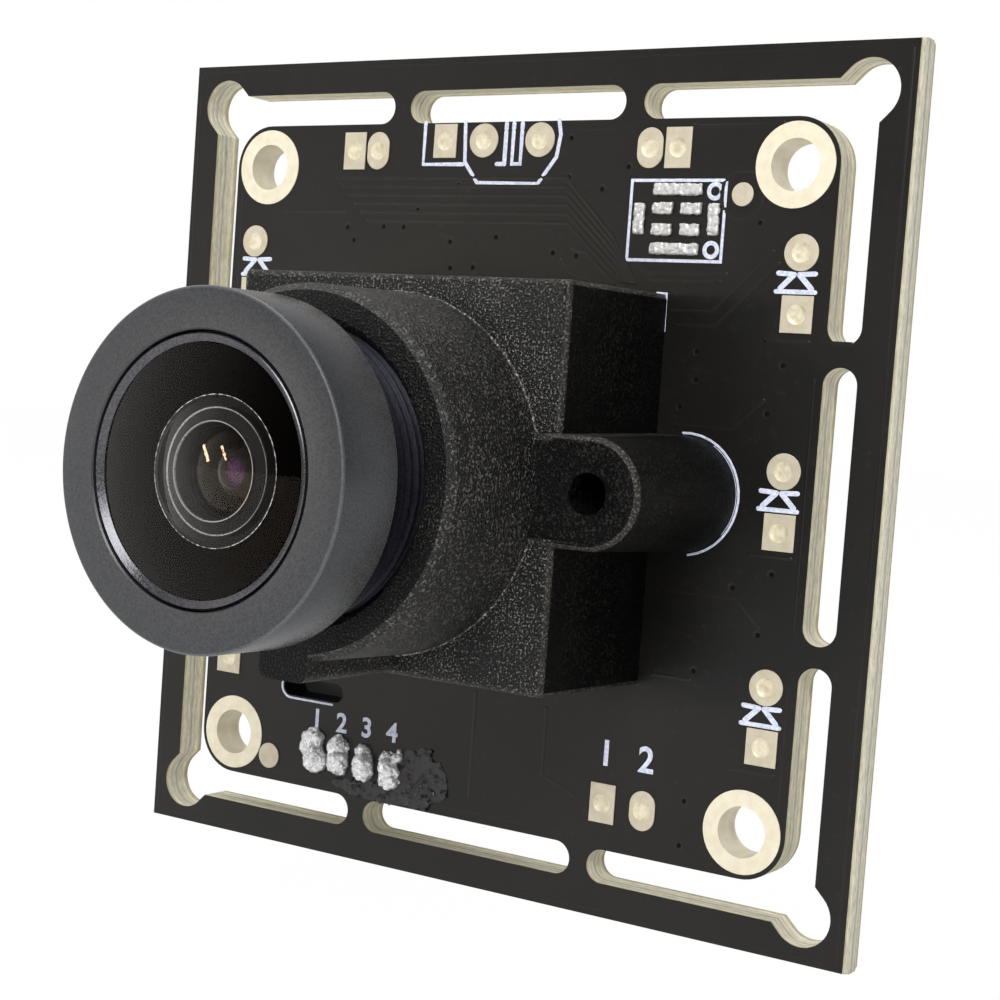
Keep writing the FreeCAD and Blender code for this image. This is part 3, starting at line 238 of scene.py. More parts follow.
def bump(tree, shader, height, depth, strength=1.0, under=None):
    """A relief of that depth in mm, over another relief where one is given."""
    inputs = {"Height": height, "Strength": strength, "Distance": depth * MM}
    if under:
        inputs["Normal"] = under
    relief = node(tree, "Bump", {}, inputs).outputs[0]
    tree.links.new(relief, shader.inputs["Normal"])
    return relief


def dress(name, *materials):
    """Give a carried-over solid its finish."""
    for place, material in zip(frame["nodes"][name].material_slots, materials):
        place.material = material


print("pattern helpers ready")

# %% [markdown]
# ## The board's finish
#
# The board is glass-fibre laminate under black solder mask. The cut edges have no mask and show the
# layers of cloth. The solid is one piece, so one material does both: the direction of a face says
# whether it is a face of the board or an edge. Two materials and picked faces would do as well, but
# the curved slot walls have many faces to pick.

# %% Faces and edges of the board
board_low, board_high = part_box("main_board")
FACE_Y = -0.0016
mask_black, tree, shader = finish("board_mask_and_edge", "#191614", 0.5, Specular_IOR_Level=0.34)
coords = node(tree, "TexCoord")
facing = node(tree, "SeparateXYZ", {}, {0: coords.outputs["Normal"]}).outputs["Y"]
flat = node(tree, "Math", {"operation": "ABSOLUTE"}, {0: facing}).outputs[0]
is_face = node(tree, "Math", {"operation": "GREATER_THAN"}, {0: flat, 1: 0.9}).outputs[0]
# The walls of the small slot beside the cable's joints take the face's dark colour: painted shade
# inside the slot.
SLOT_X, SLOT_Z, REACH_X, REACH_Z = -9.2, -11.2, 2.8, 1.1
from_slot = node(tree, "Mapping", {}, {
    "Vector": coords.outputs["Object"], "Location": (-SLOT_X / REACH_X, 0, -SLOT_Z / REACH_Z),
    "Scale": (1 / (REACH_X * MM), 0, 1 / (REACH_Z * MM))}).outputs[0]
near_slot = node(tree, "TexGradient", {"gradient_type": "SPHERICAL"}, {0: from_slot}).outputs["Fac"]
slot_shade = node(tree, "Math", {"operation": "GREATER_THAN"}, {0: near_slot, 1: 0.01}).outputs[0]
is_face = node(tree, "Math", {"operation": "MAXIMUM"}, {0: is_face, 1: slot_shade}).outputs[0]
print("board %.1f mm wide, front face at %.1f mm" % (
    (board_high[0] - board_low[0]) / MM, FACE_Y / MM))

# %% [markdown]
# The mask is a thin lacquer. To the eye it is a brownish black with a soft sheen, slow shifts of
# tone over a few millimetres, and a little pale dust. The dust is finer on the real board. It is
# drawn at a quarter of a millimetre, so that it shows.

# %% Solder mask
slow = spots(tree, 6.0, detail=2.0)
dust = spots(tree, 0.25, detail=4.0, rough=0.7)
mask_colour = ramp(tree, slow, [(0.3, "#0a0908"), (0.7, "#11100e")])
dusty = node(tree, "Mix", {"data_type": "RGBA", "blend_type": "ADD"}, {
    MIX_FACTOR: node(tree, "MapRange", {}, {
        "Value": dust, "From Min": 0.6, "From Max": 0.8, "To Min": 0.0, "To Max": 0.06}).outputs[0],
    MIX_A: mask_colour, MIX_B: linear("#8a8580")}).outputs[MIX_OUT]
print("mask with", len(tree.nodes), "nodes so far")

# %% [markdown]
# A cut edge shows pale and dark lines along the board, one for each layer of cloth, broken up by
# the ends of the fibres. So it looks like layered straw-coloured card, dry and dull. The layers
# are about 0.2 mm thick. The fibres are a few hundredths, and drawn at 0.12 mm, which still shows.

# %% Cut laminate
depth = node(tree, "SeparateXYZ", {}, {0: coords.outputs["Object"]}).outputs["Y"]
fibre = spots(tree, 0.12, detail=4.0, rough=0.7, stretch=(0.25, 1.5, 0.25))
wander = node(tree, "Math", {"operation": "MULTIPLY_ADD"}, {
    0: spots(tree, 1.2, detail=2.0), 1: 0.22 * MM, 2: depth}).outputs[0]
layer = node(tree, "MapRange", {}, {
    "Value": wander, "From Min": FACE_Y, "From Max": 0.0, "To Min": 0.0, "To Max": 1.0}).outputs[0]
cloth = ramp(tree, layer, [
    (0.0, "#989178"), (0.13, "#d6cfb6"), (0.2, "#e8e2cc"), (0.34, "#cdc8b8"), (0.42, "#e6e2d2"),
    (0.52, "#b5b0a3"), (0.6, "#e4e0d1"), (0.72, "#dad4bd"), (0.86, "#f2edd8"), (1.0, "#b9b294")])
fibrous = node(tree, "Mix", {"data_type": "RGBA", "blend_type": "MULTIPLY"}, {
    MIX_FACTOR: 0.6, MIX_A: cloth,
    MIX_B: ramp(tree, fibre, [(0.28, "#8d8a7c"), (0.62, "#ffffff")])}).outputs[MIX_OUT]
both = node(tree, "Mix", {"data_type": "RGBA"}, {
    MIX_FACTOR: is_face, MIX_A: fibrous, MIX_B: dusty}).outputs[MIX_OUT]
tree.links.new(both, shader.inputs["Base Color"])
EDGE_ROUGH, MASK_ROUGH = 0.85, 0.36
gloss = node(tree, "MapRange", {}, {
    "Value": is_face, "To Min": EDGE_ROUGH, "To Max": MASK_ROUGH}).outputs[0]
tree.links.new(gloss, shader.inputs["Roughness"])
# The weave of the cloth lifts the mask by a few thousandths of a millimetre, and its sheen wavers.
weave = bump(tree, shader, spots(tree, 0.5, detail=2.0), 0.004)
bump(tree, shader, fibre, 0.01, strength=0.5, under=weave)
dress("main_board", mask_black)
print("board dressed with", len(tree.nodes), "nodes")

# %% [markdown]
# ## Bare metal on the board
#
# Pads and the lands of the mounting holes are copper under nickel and a flash of gold. That looks
# like pale satin brass, so little in it is a mirror and most is colour: the metal share is low. The
# eight pads of the empty place and the cable's joints are tinned. Each finish is two close shades
# that trade places in soft spots of a fraction of a millimetre.

# %% Gold, tin and solder


def mottled(name, stops, size, roughness, depth, **sockets):
    """A plain finish with soft spots in its colour, its gloss and its relief."""
    material, tree, shader = finish(name, stops[0], sum(roughness) / 2, **sockets)
    pattern = spots(tree, size)
    shades = ramp(tree, pattern, [(0.3, stops[0]), (0.7, stops[1])])
    tree.links.new(shades, shader.inputs["Base Color"])
    tree.links.new(spread(tree, pattern, *roughness), shader.inputs["Roughness"])
    bump(tree, shader, pattern, depth)
    return material


# Flat plating is even and satin, a greyish straw colour.
gold = mottled("pale_gold_plating", ("#bcb4a2", "#b0a690"), 0.5, (0.42, 0.55), 0.004, Metallic=0.2)
# The lands are a paler copy of the plating: a painted highlight for the light that falls on them.
land = mottled("plated_land_painted_highlight", ("#d9d2bf", "#cec6ad"), 0.5, (0.42, 0.55), 0.004, Metallic=0.2)
# The bowls of the plugged holes are wavier, so they glint in places.
gold_bowl = mottled(
    "plated_hole_plug", ("#d6ceb8", "#b4a98b"), 0.3, (0.4, 0.55), 0.03, Metallic=0.2)
# Tin froze as it flowed: bright and dull patches lie side by side.
tin = mottled("reflowed_tin", ("#dcdcda", "#a9a8a6"), 0.2, (0.3, 0.5), 0.02, Metallic=0.5)
# Solder from the iron is nearly white, with small hard glints in its wrinkles.
solder = mottled("hand_solder", ("#ffffff", "#c4c4c8"), 0.22, (0.2, 0.42), 0.06, Metallic=0.5)
dress("mounting_hole_lands", land)
print("metal finishes:", gold.name, land.name, gold_bowl.name, tin.name, solder.name)

# %% [markdown]
# ## Contact pads
#
# Each pad is a thin plate with rounded edges. A plated and plugged hole leaves a shallow bright
# bowl in it. The solid pads have the right outlines, so a copy of them is taken, its edges are
# bevelled, and a shallow pan with a slanted wall is cut out of each pad's middle.

# %% Dimpled pads


def copy_of_node(name):
    """A free copy of a solid's mesh, with its doubled points merged."""
    make_active(frame["nodes"][name])
    bpy.ops.object.duplicate()
    piece = bpy.context.object
    bpy.ops.object.parent_clear(type="CLEAR_KEEP_TRANSFORM")
    bpy.ops.object.transform_apply(location=True, rotation=True, scale=True)
    edit(piece)
    bpy.ops.mesh.remove_doubles(threshold=0.0005 * MM)
    bpy.ops.mesh.dissolve_limited(angle_limit=math.radians(0.5))
    leave_edit()
    return piece


# The bowls need some depth, so the pads are drawn a little thicker than plating is.
PAD_RISE, PAD_ROUNDING = 0.035 * MM, 0.02 * MM
# Only pads longer than this have a plugged hole. The round marks are smaller.
HOLED_PAD = 1.3 * MM
pads = copy_of_node("contact_pads")
edit(pads, "FACE", lambda f, m: f.normal.y < -0.9)
bpy.ops.transform.translate(value=(0, -PAD_RISE, 0))
leave_edit()
apply_modifier(pads, "BEVEL", width=PAD_ROUNDING, segments=2, limit_method="ANGLE")
make_active(pads)
bpy.ops.mesh.separate(type="LOOSE")
loose = list(bpy.context.selected_objects)
middles = []
for pad in loose:
    points = [v.co for v in pad.data.vertices]
    low = [min(p[i] for p in points) for i in range(3)]
    high = [max(p[i] for p in points) for i in range(3)]
    if max(high[0] - low[0], high[2] - low[2]) > HOLED_PAD:
        middles.append(((low[0] + high[0]) / 2, (low[2] + high[2]) / 2))
pads = join(loose)
print(len(loose), "pads,", len(middles), "of them with a plugged hole")

# %% [markdown]
# The bowl is cut with a cone whose rim a bevel has rounded. A boolean leaves a clean crisp edge on
# a flat plate, where sculpting would need far more faces. The faces inside the bowl take the
# wavier plating.

# %% Bowls in the pads
BOWL_RADIUS, BOWL_DEPTH, PAD_TOP = 0.44 * MM, 0.065 * MM, FACE_Y - 0.075 * MM
cutters = []
for x, z in middles:
    clear_selection()
    bpy.ops.mesh.primitive_cone_add(
        vertices=40, radius1=BOWL_RADIUS * 1.3, radius2=BOWL_RADIUS * 0.75, depth=BOWL_DEPTH * 2.5,
        location=(x, PAD_TOP - BOWL_DEPTH * 0.25, z), rotation=(-math.pi / 2, 0, 0))
    cutter = bpy.context.object
    apply_modifier(cutter, "BEVEL", width=0.12 * MM, segments=4, angle_limit=math.radians(15))
    bpy.ops.object.transform_apply(location=True, rotation=True, scale=True)
    cutters.append(cutter)
cutter = join(cutters)
apply_modifier(pads, "BOOLEAN", operation="DIFFERENCE", object=cutter, solver="EXACT")
bpy.data.objects.remove(cutter)
finish_piece(pads, "gold_pads", "board", [gold, gold_bowl], 9)
for face in pads.data.polygons:
    out = min(math.hypot(face.center.x - x, face.center.z - z) for x, z in middles)
    inside = out < BOWL_RADIUS * 0.98 and face.center.y > PAD_TOP + 0.0015 * MM
    face.material_index = 1 if inside else 0
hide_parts("contact_pads")

# %% [markdown]
# ## Tinned pads
#
# Molten tin draws itself into a low uneven cushion on each pad. Every pad's solid is copied, its
# top is pulled up and rounded, and a fine remesh takes a little noise, like tin that froze as it
# flowed.

# %% Beads of tin
BEAD_RISE, BEAD_GRID, BEAD_SWELL, BEAD_RIPPLE = 0.09 * MM, 0.035 * MM, 0.02, 0.06
RIPPLE_SIZE = 0.22 * MM
beads = copy_of_node("tinned_pads")
edit(beads, "FACE", lambda f, m: f.normal.y < -0.9)
bpy.ops.transform.translate(value=(0, -BEAD_RISE, 0))
leave_edit()
apply_modifier(beads, "REMESH", mode="VOXEL", voxel_size=BEAD_GRID)
apply_modifier(beads, "SMOOTH", factor=0.7, iterations=12)
for point in beads.data.vertices:
    push = noise.fractal(point.co / RIPPLE_SIZE, 1.0, 2.0, 3)
    point.co += point.normal * (BEAD_SWELL + push * BEAD_RIPPLE) * MM
finish_piece(beads, "tin_beads", "board", [tin], 60)
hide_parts("tinned_pads")

# %% [markdown]
# ## Print, traces and vias
#
# White ink is printed over the mask in lines of about 0.25 mm with round ends. A curve with a
# round section makes each line, and the whole print is then pressed flat. The copper traces under
# the mask are the same kind of line, flatter still and in the mask's own black, so only their
# edges show.

# %% Lines on the board


def round_end(points, width):
    """Put three ever thinner points before the first one, so that the line starts round."""
    (x0, z0, _), (x1, z1, _) = points[:2]
    length = math.hypot(x1 - x0, z1 - z0)
    dx, dz = (x0 - x1) / length * width / 2, (z0 - z1) / length * width / 2
    return [(x0 + dx * out, z0 + dz * out, share)
            for out, share in ((0.98, 0.2), (0.8, 0.6), (0.45, 0.89))] + points


def lines_on_board(name, runs, width, height, material):
    """Flat lines with round ends. A run is a list of (x, z) in mm, "closed" first if it closes."""
    curve = bpy.data.curves.new(name, "CURVE")
    curve.dimensions = "3D"
    curve.bevel_depth = width / 2 * MM
    curve.bevel_resolution = 1
    curve.use_fill_caps = True
    for run in runs:
        closed = run[0] == "closed"
        points = [(x, z, 1.0) for x, z in (run[1:] if closed else run)]
        if not closed:
            points = round_end(points, width)
            points = round_end(points[::-1], width)
        spline = curve.splines.new("POLY")
        spline.points.add(len(points) - 1)
        for point, (x, z, share) in zip(spline.points, points):
            point.co = (x * MM, 0, z * MM, 1)
            point.radius = share
        spline.use_cyclic_u = closed
    piece = bpy.data.objects.new(name, curve)
    bpy.context.scene.collection.objects.link(piece)
    make_active(piece)
    bpy.ops.object.convert(target="MESH")
    piece = bpy.context.object
    piece.scale = (1, 2 * height / width, 1)
    piece.location = (0, FACE_Y, 0)
    bpy.ops.object.transform_apply(location=True, rotation=True, scale=True)
    edit(piece)
    bpy.ops.mesh.normals_make_consistent(inside=False)
    leave_edit()
    return finish_piece(piece, name, "board", [material], 80)


def arc(x, z, radius, start, stop, steps=10):
    """Points on an arc, in degrees."""
    turns = [math.radians(start + (stop - start) * i / steps) for i in range(steps + 1)]
    return [(x + radius * math.cos(a), z + radius * math.sin(a)) for a in turns]


# Printed ink is matt and a little thin, so the black under it cools and dims the white in spots.
white_ink = mottled("white_print", ("#cdd1e0", "#a4a9bb"), 0.12, (0.6, 0.75), 0.004)
# This is the board's own lacquer. Over copper it is a little smoother, so its edges catch light.
trace_mask = mottled("mask_over_copper", ("#161412", "#100e0d"), 0.6, (0.3, 0.4), 0.003,
                     Specular_IOR_Level=0.35)
print("a quarter circle in", len(arc(0, 0, 1, 0, 90)), "points")

# %% [markdown]
# The print has a mark beside each pair of side pads, the outline of the part that could be fitted
# at the top, the box round the empty place and the outline of the holder. Each mark is drawn once,
# for a pair's own middle, and moved to the six pairs. A font or an image would be quicker, but
# lines keep the true widths of the pen that the print was drawn with.

# %% The white print
SIDE_PAD_X, SIDE_MARK_TOP, SIDE_PAD_PITCH = 14.45, 9.53, 9.07
half_bar = [(0.82, 0.0), (0.22, -0.03)]
half_leg = [(0.13, -0.06), (0.7, -0.62)]
bold, heavy, fine, thin = [], [], [], []
for side in (-1, 1):
    for pair in range(3):
        x, z = side * SIDE_PAD_X, SIDE_MARK_TOP - pair * SIDE_PAD_PITCH
        for hand in (-1, 1):
            bold.append([(x + hand * dx, z + dz) for dx, dz in half_bar])
            heavy.append([(x + hand * dx, z + dz) for dx, dz in half_leg])
        fine.append([(x - 0.88, z - 0.76), (x + 0.86, z - 0.76)])
# The square-cornered outline and the chamfered one at the top middle.
fine.append([(-4.83, 16.0), (-4.83, 14.1), (-2.62, 14.1)])
fine.append([(-2.6, 16.0), (-2.5, 14.2), (-1.75, 13.25), (1.5, 13.2), (2.4, 14.4), (2.55, 15.4),
             (2.42, 16.0)])
fine += [[(-0.35, 15.9), (-0.35, 14.1)], [(0.05, 15.9), (0.05, 14.1), (0.5, 14.1), (0.5, 15.9)],
         [(-0.75, 14.1), (-0.35, 14.1)]]
# The box of the empty place with its two rings, and the holder's outline.
fine.append(["closed", (6.36, 9.93), (10.9, 9.93), (10.9, 13.36), (6.36, 13.36)])
for z in (12.9, 10.42):
    fine.append(["closed"] + arc(10.4, z, 0.3, 0, 340, 15))
thin += [[(8.0, 8.52), (8.46, 8.52), (8.46, 6.9)], [(8.44, 6.4), (8.44, 5.6)],
         [(8.42, 5.2), (8.42, 4.7)]]
thin.append(arc(-10.55, -11.2, 0.58, 90, 270, 12) + [(-8.0, -11.78)])
# The crescent round the ear's foot.
bold.append(arc(10.0, 0.0, 2.42, -38, 58, 14))
thin.append(arc(10.0, 0.0, 2.62, -80, 95, 18))
# Each width of pen is a piece of its own, with its width and height in mm.
for name, runs, width, height in (
        ("print_heavy", heavy, 0.27, 0.022), ("print_bold", bold, 0.24, 0.02),
        ("print_fine", fine, 0.22, 0.018), ("print_thin", thin, 0.12, 0.015)):
    lines_on_board(name, runs, width, height, white_ink)

# %% [markdown]
# Beside the four cable joints and the two low pads the board carries small labels. Plain numbers
# stand there, so that each joint can be told apart. A text object gives the strokes, and it becomes
# a mesh before it is turned into its place.

# %% Plain numbers
INK_HEIGHT, INK_SPREAD = 0.009 * MM, 0.03 * MM


def number_on_board(text, x, z, size):
    """A number as a thin mesh on the board's face, upright for who looks at the lens."""
    clear_selection()
    bpy.ops.object.text_add(location=(x * MM, FACE_Y - 0.008 * MM, z * MM))
    label = bpy.context.object
    label.data.body = text
    label.data.size = size * MM
    label.data.extrude = INK_HEIGHT
    label.data.offset = INK_SPREAD
    label.data.align_x = "CENTER"
    label.data.align_y = "CENTER"
    bpy.ops.object.convert(target="MESH")
    label = bpy.context.object
    label.rotation_euler = (math.pi / 2, 0, 0)
    bpy.ops.object.transform_apply(location=True, rotation=True, scale=True)
    return label


# Each row: how many numbers, the first one's x, the step to the next, their z and their size.
NUMBER_ROWS = [(4, -8.85, 1.5, -12.62, 1.3), (2, 7.23, 2.0, -11.75, 1.6)]
labels = [number_on_board(str(i + 1), first + step * i, z, size)
          for count, first, step, z, size in NUMBER_ROWS for i in range(count)]
numbers = join(labels)
finish_piece(numbers, "print_numbers", "board", [white_ink], 30)

# %% [markdown]
# The traces fan out from the parts at the top and run down beside the holder. They are straight
# runs with 45 degree turns, as a board is always laid out. Under the mask only their raised edges
# show. Copper is about 0.035 mm thick, and mask on top of it evens that out to these heights.

# %% Traces under the mask
traces = []
for lane in range(6):
    z, gap = 13.5 - 0.4 * lane, 0.4 * lane
    traces.append([(-9.8 + gap, z), (3.0 + gap * 0.1, z), (5.6 + gap * 0.2, z - 2.6 + gap * 0.1),
                   (6.9 - gap * 0.4, 8.95)])
traces += [
    [(3.6, 10.35), (4.3, 10.2), (5.8, 8.9)], [(3.1, 9.9), (3.5, 9.35), (4.4, 9.0)],
    [(6.9, 9.75), (7.6, 9.1), (10.9, 9.1)], [(7.2, 9.42), (11.2, 9.42)],
    [(8.7, 7.8), (10.7, 7.8), (13.3, 10.4)], [(9.0, 7.2), (10.9, 7.2), (13.6, 9.9)],
    [(9.3, 15.75), (13.3, 15.75)], [(13.3, 6.73), (15.2, 6.73)], [(16.2, 6.73), (17.1, 6.73)],
    [(13.3, -2.25), (15.2, -2.25)], [(13.3, -11.4), (15.2, -11.4)],
    [(9.4, 2.9), (12.1, 2.9), (13.4, 4.2)], [(9.4, -4.2), (12.9, -4.2), (14.0, -5.3)],
    [(9.2, -7.9), (11.0, -7.9)], [(4.0, -10.2), (4.0, -13.2), (5.9, -13.9)],
    [(0.2, -10.0), (0.2, -14.8)], [(-12.8, 11.9), (-9.2, 11.9)], [(-12.6, 2.8), (-9.2, 2.8)],
    [(-13.2, -5.4), (-9.2, -5.4)], [(-12.8, -9.7), (-11.6, -9.7)],
]
traces.append(["closed"] + arc(11.71, 12.77, 1.02, 0, 345, 23))
lines_on_board("mask_over_traces", traces, 0.2, 0.022, trace_mask)
# Three runs on each side of the board, one along the rim and two along the core, where the
# copper ends.
border = []
for turn in range(4):
    a = math.pi / 2 * turn
    for run in ([(-18.6, 18.72), (18.6, 18.72)],
                [(-15.6, 12.9), (-15.6, 7.6)], [(-15.6, 5.2), (-15.6, -5.2)]):
        border.append([(x * math.cos(a) - z * math.sin(a), x * math.sin(a) + z * math.cos(a))
                       for x, z in run])
lines_on_board("mask_over_border", border, 0.1, 0.008, trace_mask)

# %% [markdown]
# A via is a small plated hole under the mask. It shows as a dark pit in a low round ring. It is
# modelled once, by insetting the end of a short cylinder twice, and copied to its places on the
# front. The holes go through, so each shows on the rear as well.

# %% Vias
VIA_RADIUS, VIA_RIM, VIA_CHAMFER, VIA_SINK = 0.24 * MM, 0.1 * MM, 0.03 * MM, 0.009 * MM
VIAS = [
    (3.12, 15.22), (3.12, 13.5), (4.88, 12.98), (6.12, 13.95), (-2.75, 13.15), (-3.0, 10.55),
    (-0.5, 10.8), (2.58, 10.15), (3.8, 10.05), (-2.9, 9.35), (-1.65, 9.4), (12.6, 11.6),
    (10.12, 6.1), (14.15, 5.7), (13.6, 3.65), (10.15, 4.9), (9.5, 3.7), (14.4, -3.0),
    (12.65, -3.75), (14.0, -5.6), (11.15, -7.5), (11.2, -13.15), (11.12, -15.1), (-8.98, 11.15),
    (-6.85, 11.2), (-5.7, 11.2), (-8.55, 10.55), (-4.95, 12.0),
]
# A pit is all shadow: the plainest black, with no gloss to give it away.
via_pit, _, _ = finish("via_pit", "#050505", 0.7, Specular_IOR_Level=0.1)
rings = []
for x, z in VIAS:
    for face_y, out in ((FACE_Y, -1), (0.0, 1)):
        clear_selection()
        bpy.ops.mesh.primitive_cylinder_add(
            vertices=14, radius=VIA_RADIUS, depth=0.02 * MM, rotation=(math.pi / 2, 0, 0),
            location=(x * MM, face_y, z * MM))
        ring = bpy.context.object
        bpy.ops.object.transform_apply(location=True, rotation=True, scale=True)
        edit(ring, "FACE", lambda f, m: f.normal.y * out > 0.9)
        bpy.ops.mesh.inset(thickness=VIA_RIM, depth=0)
        bpy.ops.mesh.inset(thickness=VIA_CHAMFER, depth=0)
        bpy.ops.transform.translate(value=(0, -out * VIA_SINK, 0))
        leave_edit()
        rings.append(ring)
vias = join(rings)
finish_piece(vias, "vias", "board", [trace_mask, via_pit], 20)
PIT_RADIUS = 0.13 * MM
for face in vias.data.polygons:
    points = [vias.data.vertices[i].co for i in face.vertices]
    small = max((p - face.center).length for p in points) < PIT_RADIUS
    face.material_index = 1 if small and len(points) > 4 else 0

# %% [markdown]
# ## Solder joints
#
# The cable's four joints were soldered by hand. Each is a lump with a smaller one beside it, drawn
# out where the iron left it. Balls are joined, fused by a remesh and roughened by noise, which is
# how one would build such lumps up from clay. Burnt flux lies round them as a thin blistered
# crust.

# %% Lumps of solder
pin_low, pin_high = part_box("connector_pins")
PIN_Z = (pin_low[2] + pin_high[2]) / 2
PIN_STEP = 1.5 * MM
# Each joint's balls, in mm: x and z from the pin, radius, and how far it stands out.
LUMPS = [
    [(0.0, 0.0, 0.55, 0.62), (0.1, -0.35, 0.66, 0.5), (-0.1, 0.6, 0.6, 0.42),
     (-0.5, 0.2, 0.4, 0.26)],
    [(0.0, 0.0, 0.52, 0.62), (0.0, -0.35, 0.56, 0.45), (-0.05, 0.5, 0.55, 0.46)],
    [(0.0, 0.0, 0.52, 0.62), (0.0, -0.4, 0.58, 0.45), (-0.1, 0.42, 0.42, 0.3)],
    [(0.0, 0.0, 0.5, 0.62), (0.05, -0.5, 0.6, 0.45), (-0.25, 0.4, 0.34, 0.26),
     (0.45, 0.5, 0.24, 0.22), (0.54, 0.85, 0.13, 0.14)],
]
balls = []
for pin, lumps in enumerate(LUMPS):
    x0 = pin_low[0] + 0.25 * MM + pin * PIN_STEP
    for dx, dz, radius, rise in lumps:
        clear_selection()
        bpy.ops.mesh.primitive_ico_sphere_add(
            subdivisions=4, radius=radius * MM, location=(x0 + dx * MM, FACE_Y, PIN_Z + dz * MM))
        ball = bpy.context.object
        ball.scale = (1, (rise + 0.12) / radius, 1)
        bpy.ops.object.transform_apply(location=True, rotation=True, scale=True)
        balls.append(ball)
lumps = join(balls)
LUMP_GRID, WRINKLE_SIZE, WRINKLE_DEPTH = 0.05 * MM, 0.33 * MM, 0.1 * MM
apply_modifier(lumps, "REMESH", mode="VOXEL", voxel_size=LUMP_GRID)
apply_modifier(lumps, "SMOOTH", factor=0.6, iterations=4)
for point in lumps.data.vertices:
    push = noise.fractal(point.co / WRINKLE_SIZE, 0.8, 2.0, 4)
    point.co += point.normal * push * WRINKLE_DEPTH
edit(lumps)
bpy.ops.mesh.bisect(plane_co=(0, FACE_Y, 0), plane_no=(0, 1, 0), use_fill=True, clear_outer=True)
leave_edit()
finish_piece(lumps, "solder_lumps", "board", [solder], 50)
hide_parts("connector_solder_joints")

# %% [markdown]
# The crust of flux has a ragged outline. A fine grid lies on the board, what lies outside the
# outline is deleted, the rest gets some thickness, and noise raises blisters. Only the faces that
# are seen need the grid, which is why it is not a block.

# %% Burnt flux
# Burnt flux is a black resin: shiny on its blisters and dull between them.
flux = mottled("burnt_flux", ("#0b0a0a", "#2b292a"), 0.3, (0.2, 0.5), 0.05)
clear_selection()
bpy.ops.mesh.primitive_grid_add(
    x_subdivisions=90, y_subdivisions=60, size=1, location=(-4.6 * MM, FACE_Y, -14.5 * MM),
    rotation=(math.pi / 2, 0, 0))
crust = bpy.context.object
crust.scale = (7.2 * MM, 4.2 * MM, 1)
bpy.ops.object.transform_apply(location=True, rotation=True, scale=True)


def crust_edge(x, z):
    """How far a point lies inside the crust's ragged outline: over 0 is inside."""
    across, up = (x / MM + 2.6) / 1.65, (z / MM + 14.5) / 1.35
    right = 1 - across * across - up * up
    across, up = (x / MM + 4.9) / 2.6, (z / MM + 15.5) / 0.5
    low = 1 - across * across - up * up
    ragged = noise.fractal(Vector((x, 0, z)) / (0.7 * MM), 1.0, 2.0, 3) * 0.5
    return max(right, low) + ragged


edit(crust, "FACE", lambda f, m: crust_edge(f.center.x, f.center.z) < 0)
bpy.ops.mesh.delete(type="FACE")
leave_edit()
apply_modifier(crust, "SOLIDIFY", thickness=0.03 * MM, offset=1)
for point in crust.data.vertices:
    if point.co.y < FACE_Y - 0.01 * MM:
        blister = noise.fractal(point.co / (0.3 * MM), 1.0, 2.0, 3)
        point.co.y -= max(0, blister) * 0.22 * MM
finish_piece(crust, "flux_crust", "board", [flux], 40)

# %% [markdown]
# ## The holder
#
# The holder is moulded in black glass-filled plastic, in a mould that spark erosion left grainy, so
# it sparkles a little; the palest specks of the grain are painted glints. The grain differs from
# face
# to face: coarse on the base's front, finer on the boss's side, sharp on the boss's face, and
# nearly smooth on the base's sides and the ears. The shades that differ with it are painted light
# and
# shade: the boss's side is greyer for the light from above, the boss's face black and the base's
# side walls darker for their shade. The real grain is some hundredths of a millimetre. It is drawn
# at
# 0.1 mm, the finest that still shows in a picture of the whole board.

# %% Holder finishes


def moulding(name, grain, relief, dark, light, glint, roughness, gloss):
    """Black plastic with a coarse grain, painted glints and slow streaks of scuffing."""
    material, tree, shader = finish(name, dark, roughness, Specular_IOR_Level=gloss)
    coarse = spots(tree, grain, detail=2.0, rough=0.6)
    slow = spots(tree, 2.2, detail=3.0, rough=0.6)
    scuffed = node(tree, "Math", {"operation": "MULTIPLY_ADD"}, {
        0: slow, 1: 0.15, 2: coarse}).outputs[0]
    # The palest stop, glint, paints glints into the colour.
    shades = ramp(tree, scuffed, [(0.57, dark), (0.635, light), (0.73, glint)])
    tree.links.new(shades, shader.inputs["Base Color"])
    dull = spread(tree, coarse, roughness - 0.1, roughness + 0.12)
    tree.links.new(dull, shader.inputs["Roughness"])
    fine = bump(tree, shader, spots(tree, grain * 0.4, detail=2.0), relief * 0.3)
    bump(tree, shader, coarse, relief, under=fine)
    return material


# The base's front is black, with a sharp sparkle of painted glints in its grain.
grained = moulding("grained_moulding", 0.1, 0.2, "#000000", "#141312", "#7d7a74", 0.38, 0.35)
# The sides of the base and the ears are a deep dull black that shows hardly any grain. On the
# base's side walls this darker black is also painted shade.
smooth_and_shaded = moulding("smooth_moulding_and_shade", 0.1, 0.06, "#000000", "#060605", "#24221f", 0.5, 0.12)
# The sharp parting line is pale grey, partly glass fibres rubbed bare in handling and partly a
# painted highlight.
rubbed_and_highlight = moulding("rubbed_edge_and_highlight", 0.1, 0.08, "#2c2b29", "#605e5a", "#a3a19b", 0.5, 0.3)
# The rounded edges are a dim grey, partly light wear and partly a painted highlight.
rounded = moulding("rounded_edge_wear_and_highlight", 0.1, 0.06, "#1b1a18", "#35332f", "#57534c", 0.5, 0.25)
# The boss's side is greyer, painted light from above, and softer in its sparkle.
boss_side = moulding("boss_side_painted_light", 0.12, 0.1, "#0b0a0a", "#1e1d1b", "#5c5955", 0.42, 0.35)
# The boss's face, behind the lens's head, has the deepest grain and a darker black, painted shade
# from the head.
boss_front = moulding("boss_front_painted_shade", 0.1, 0.22, "#000000", "#050505", "#45433f", 0.45, 0.25)
print("moulded finishes:", grained.name, smooth_and_shaded.name, rubbed_and_highlight.name, rounded.name, boss_side.name,
      boss_front.name)
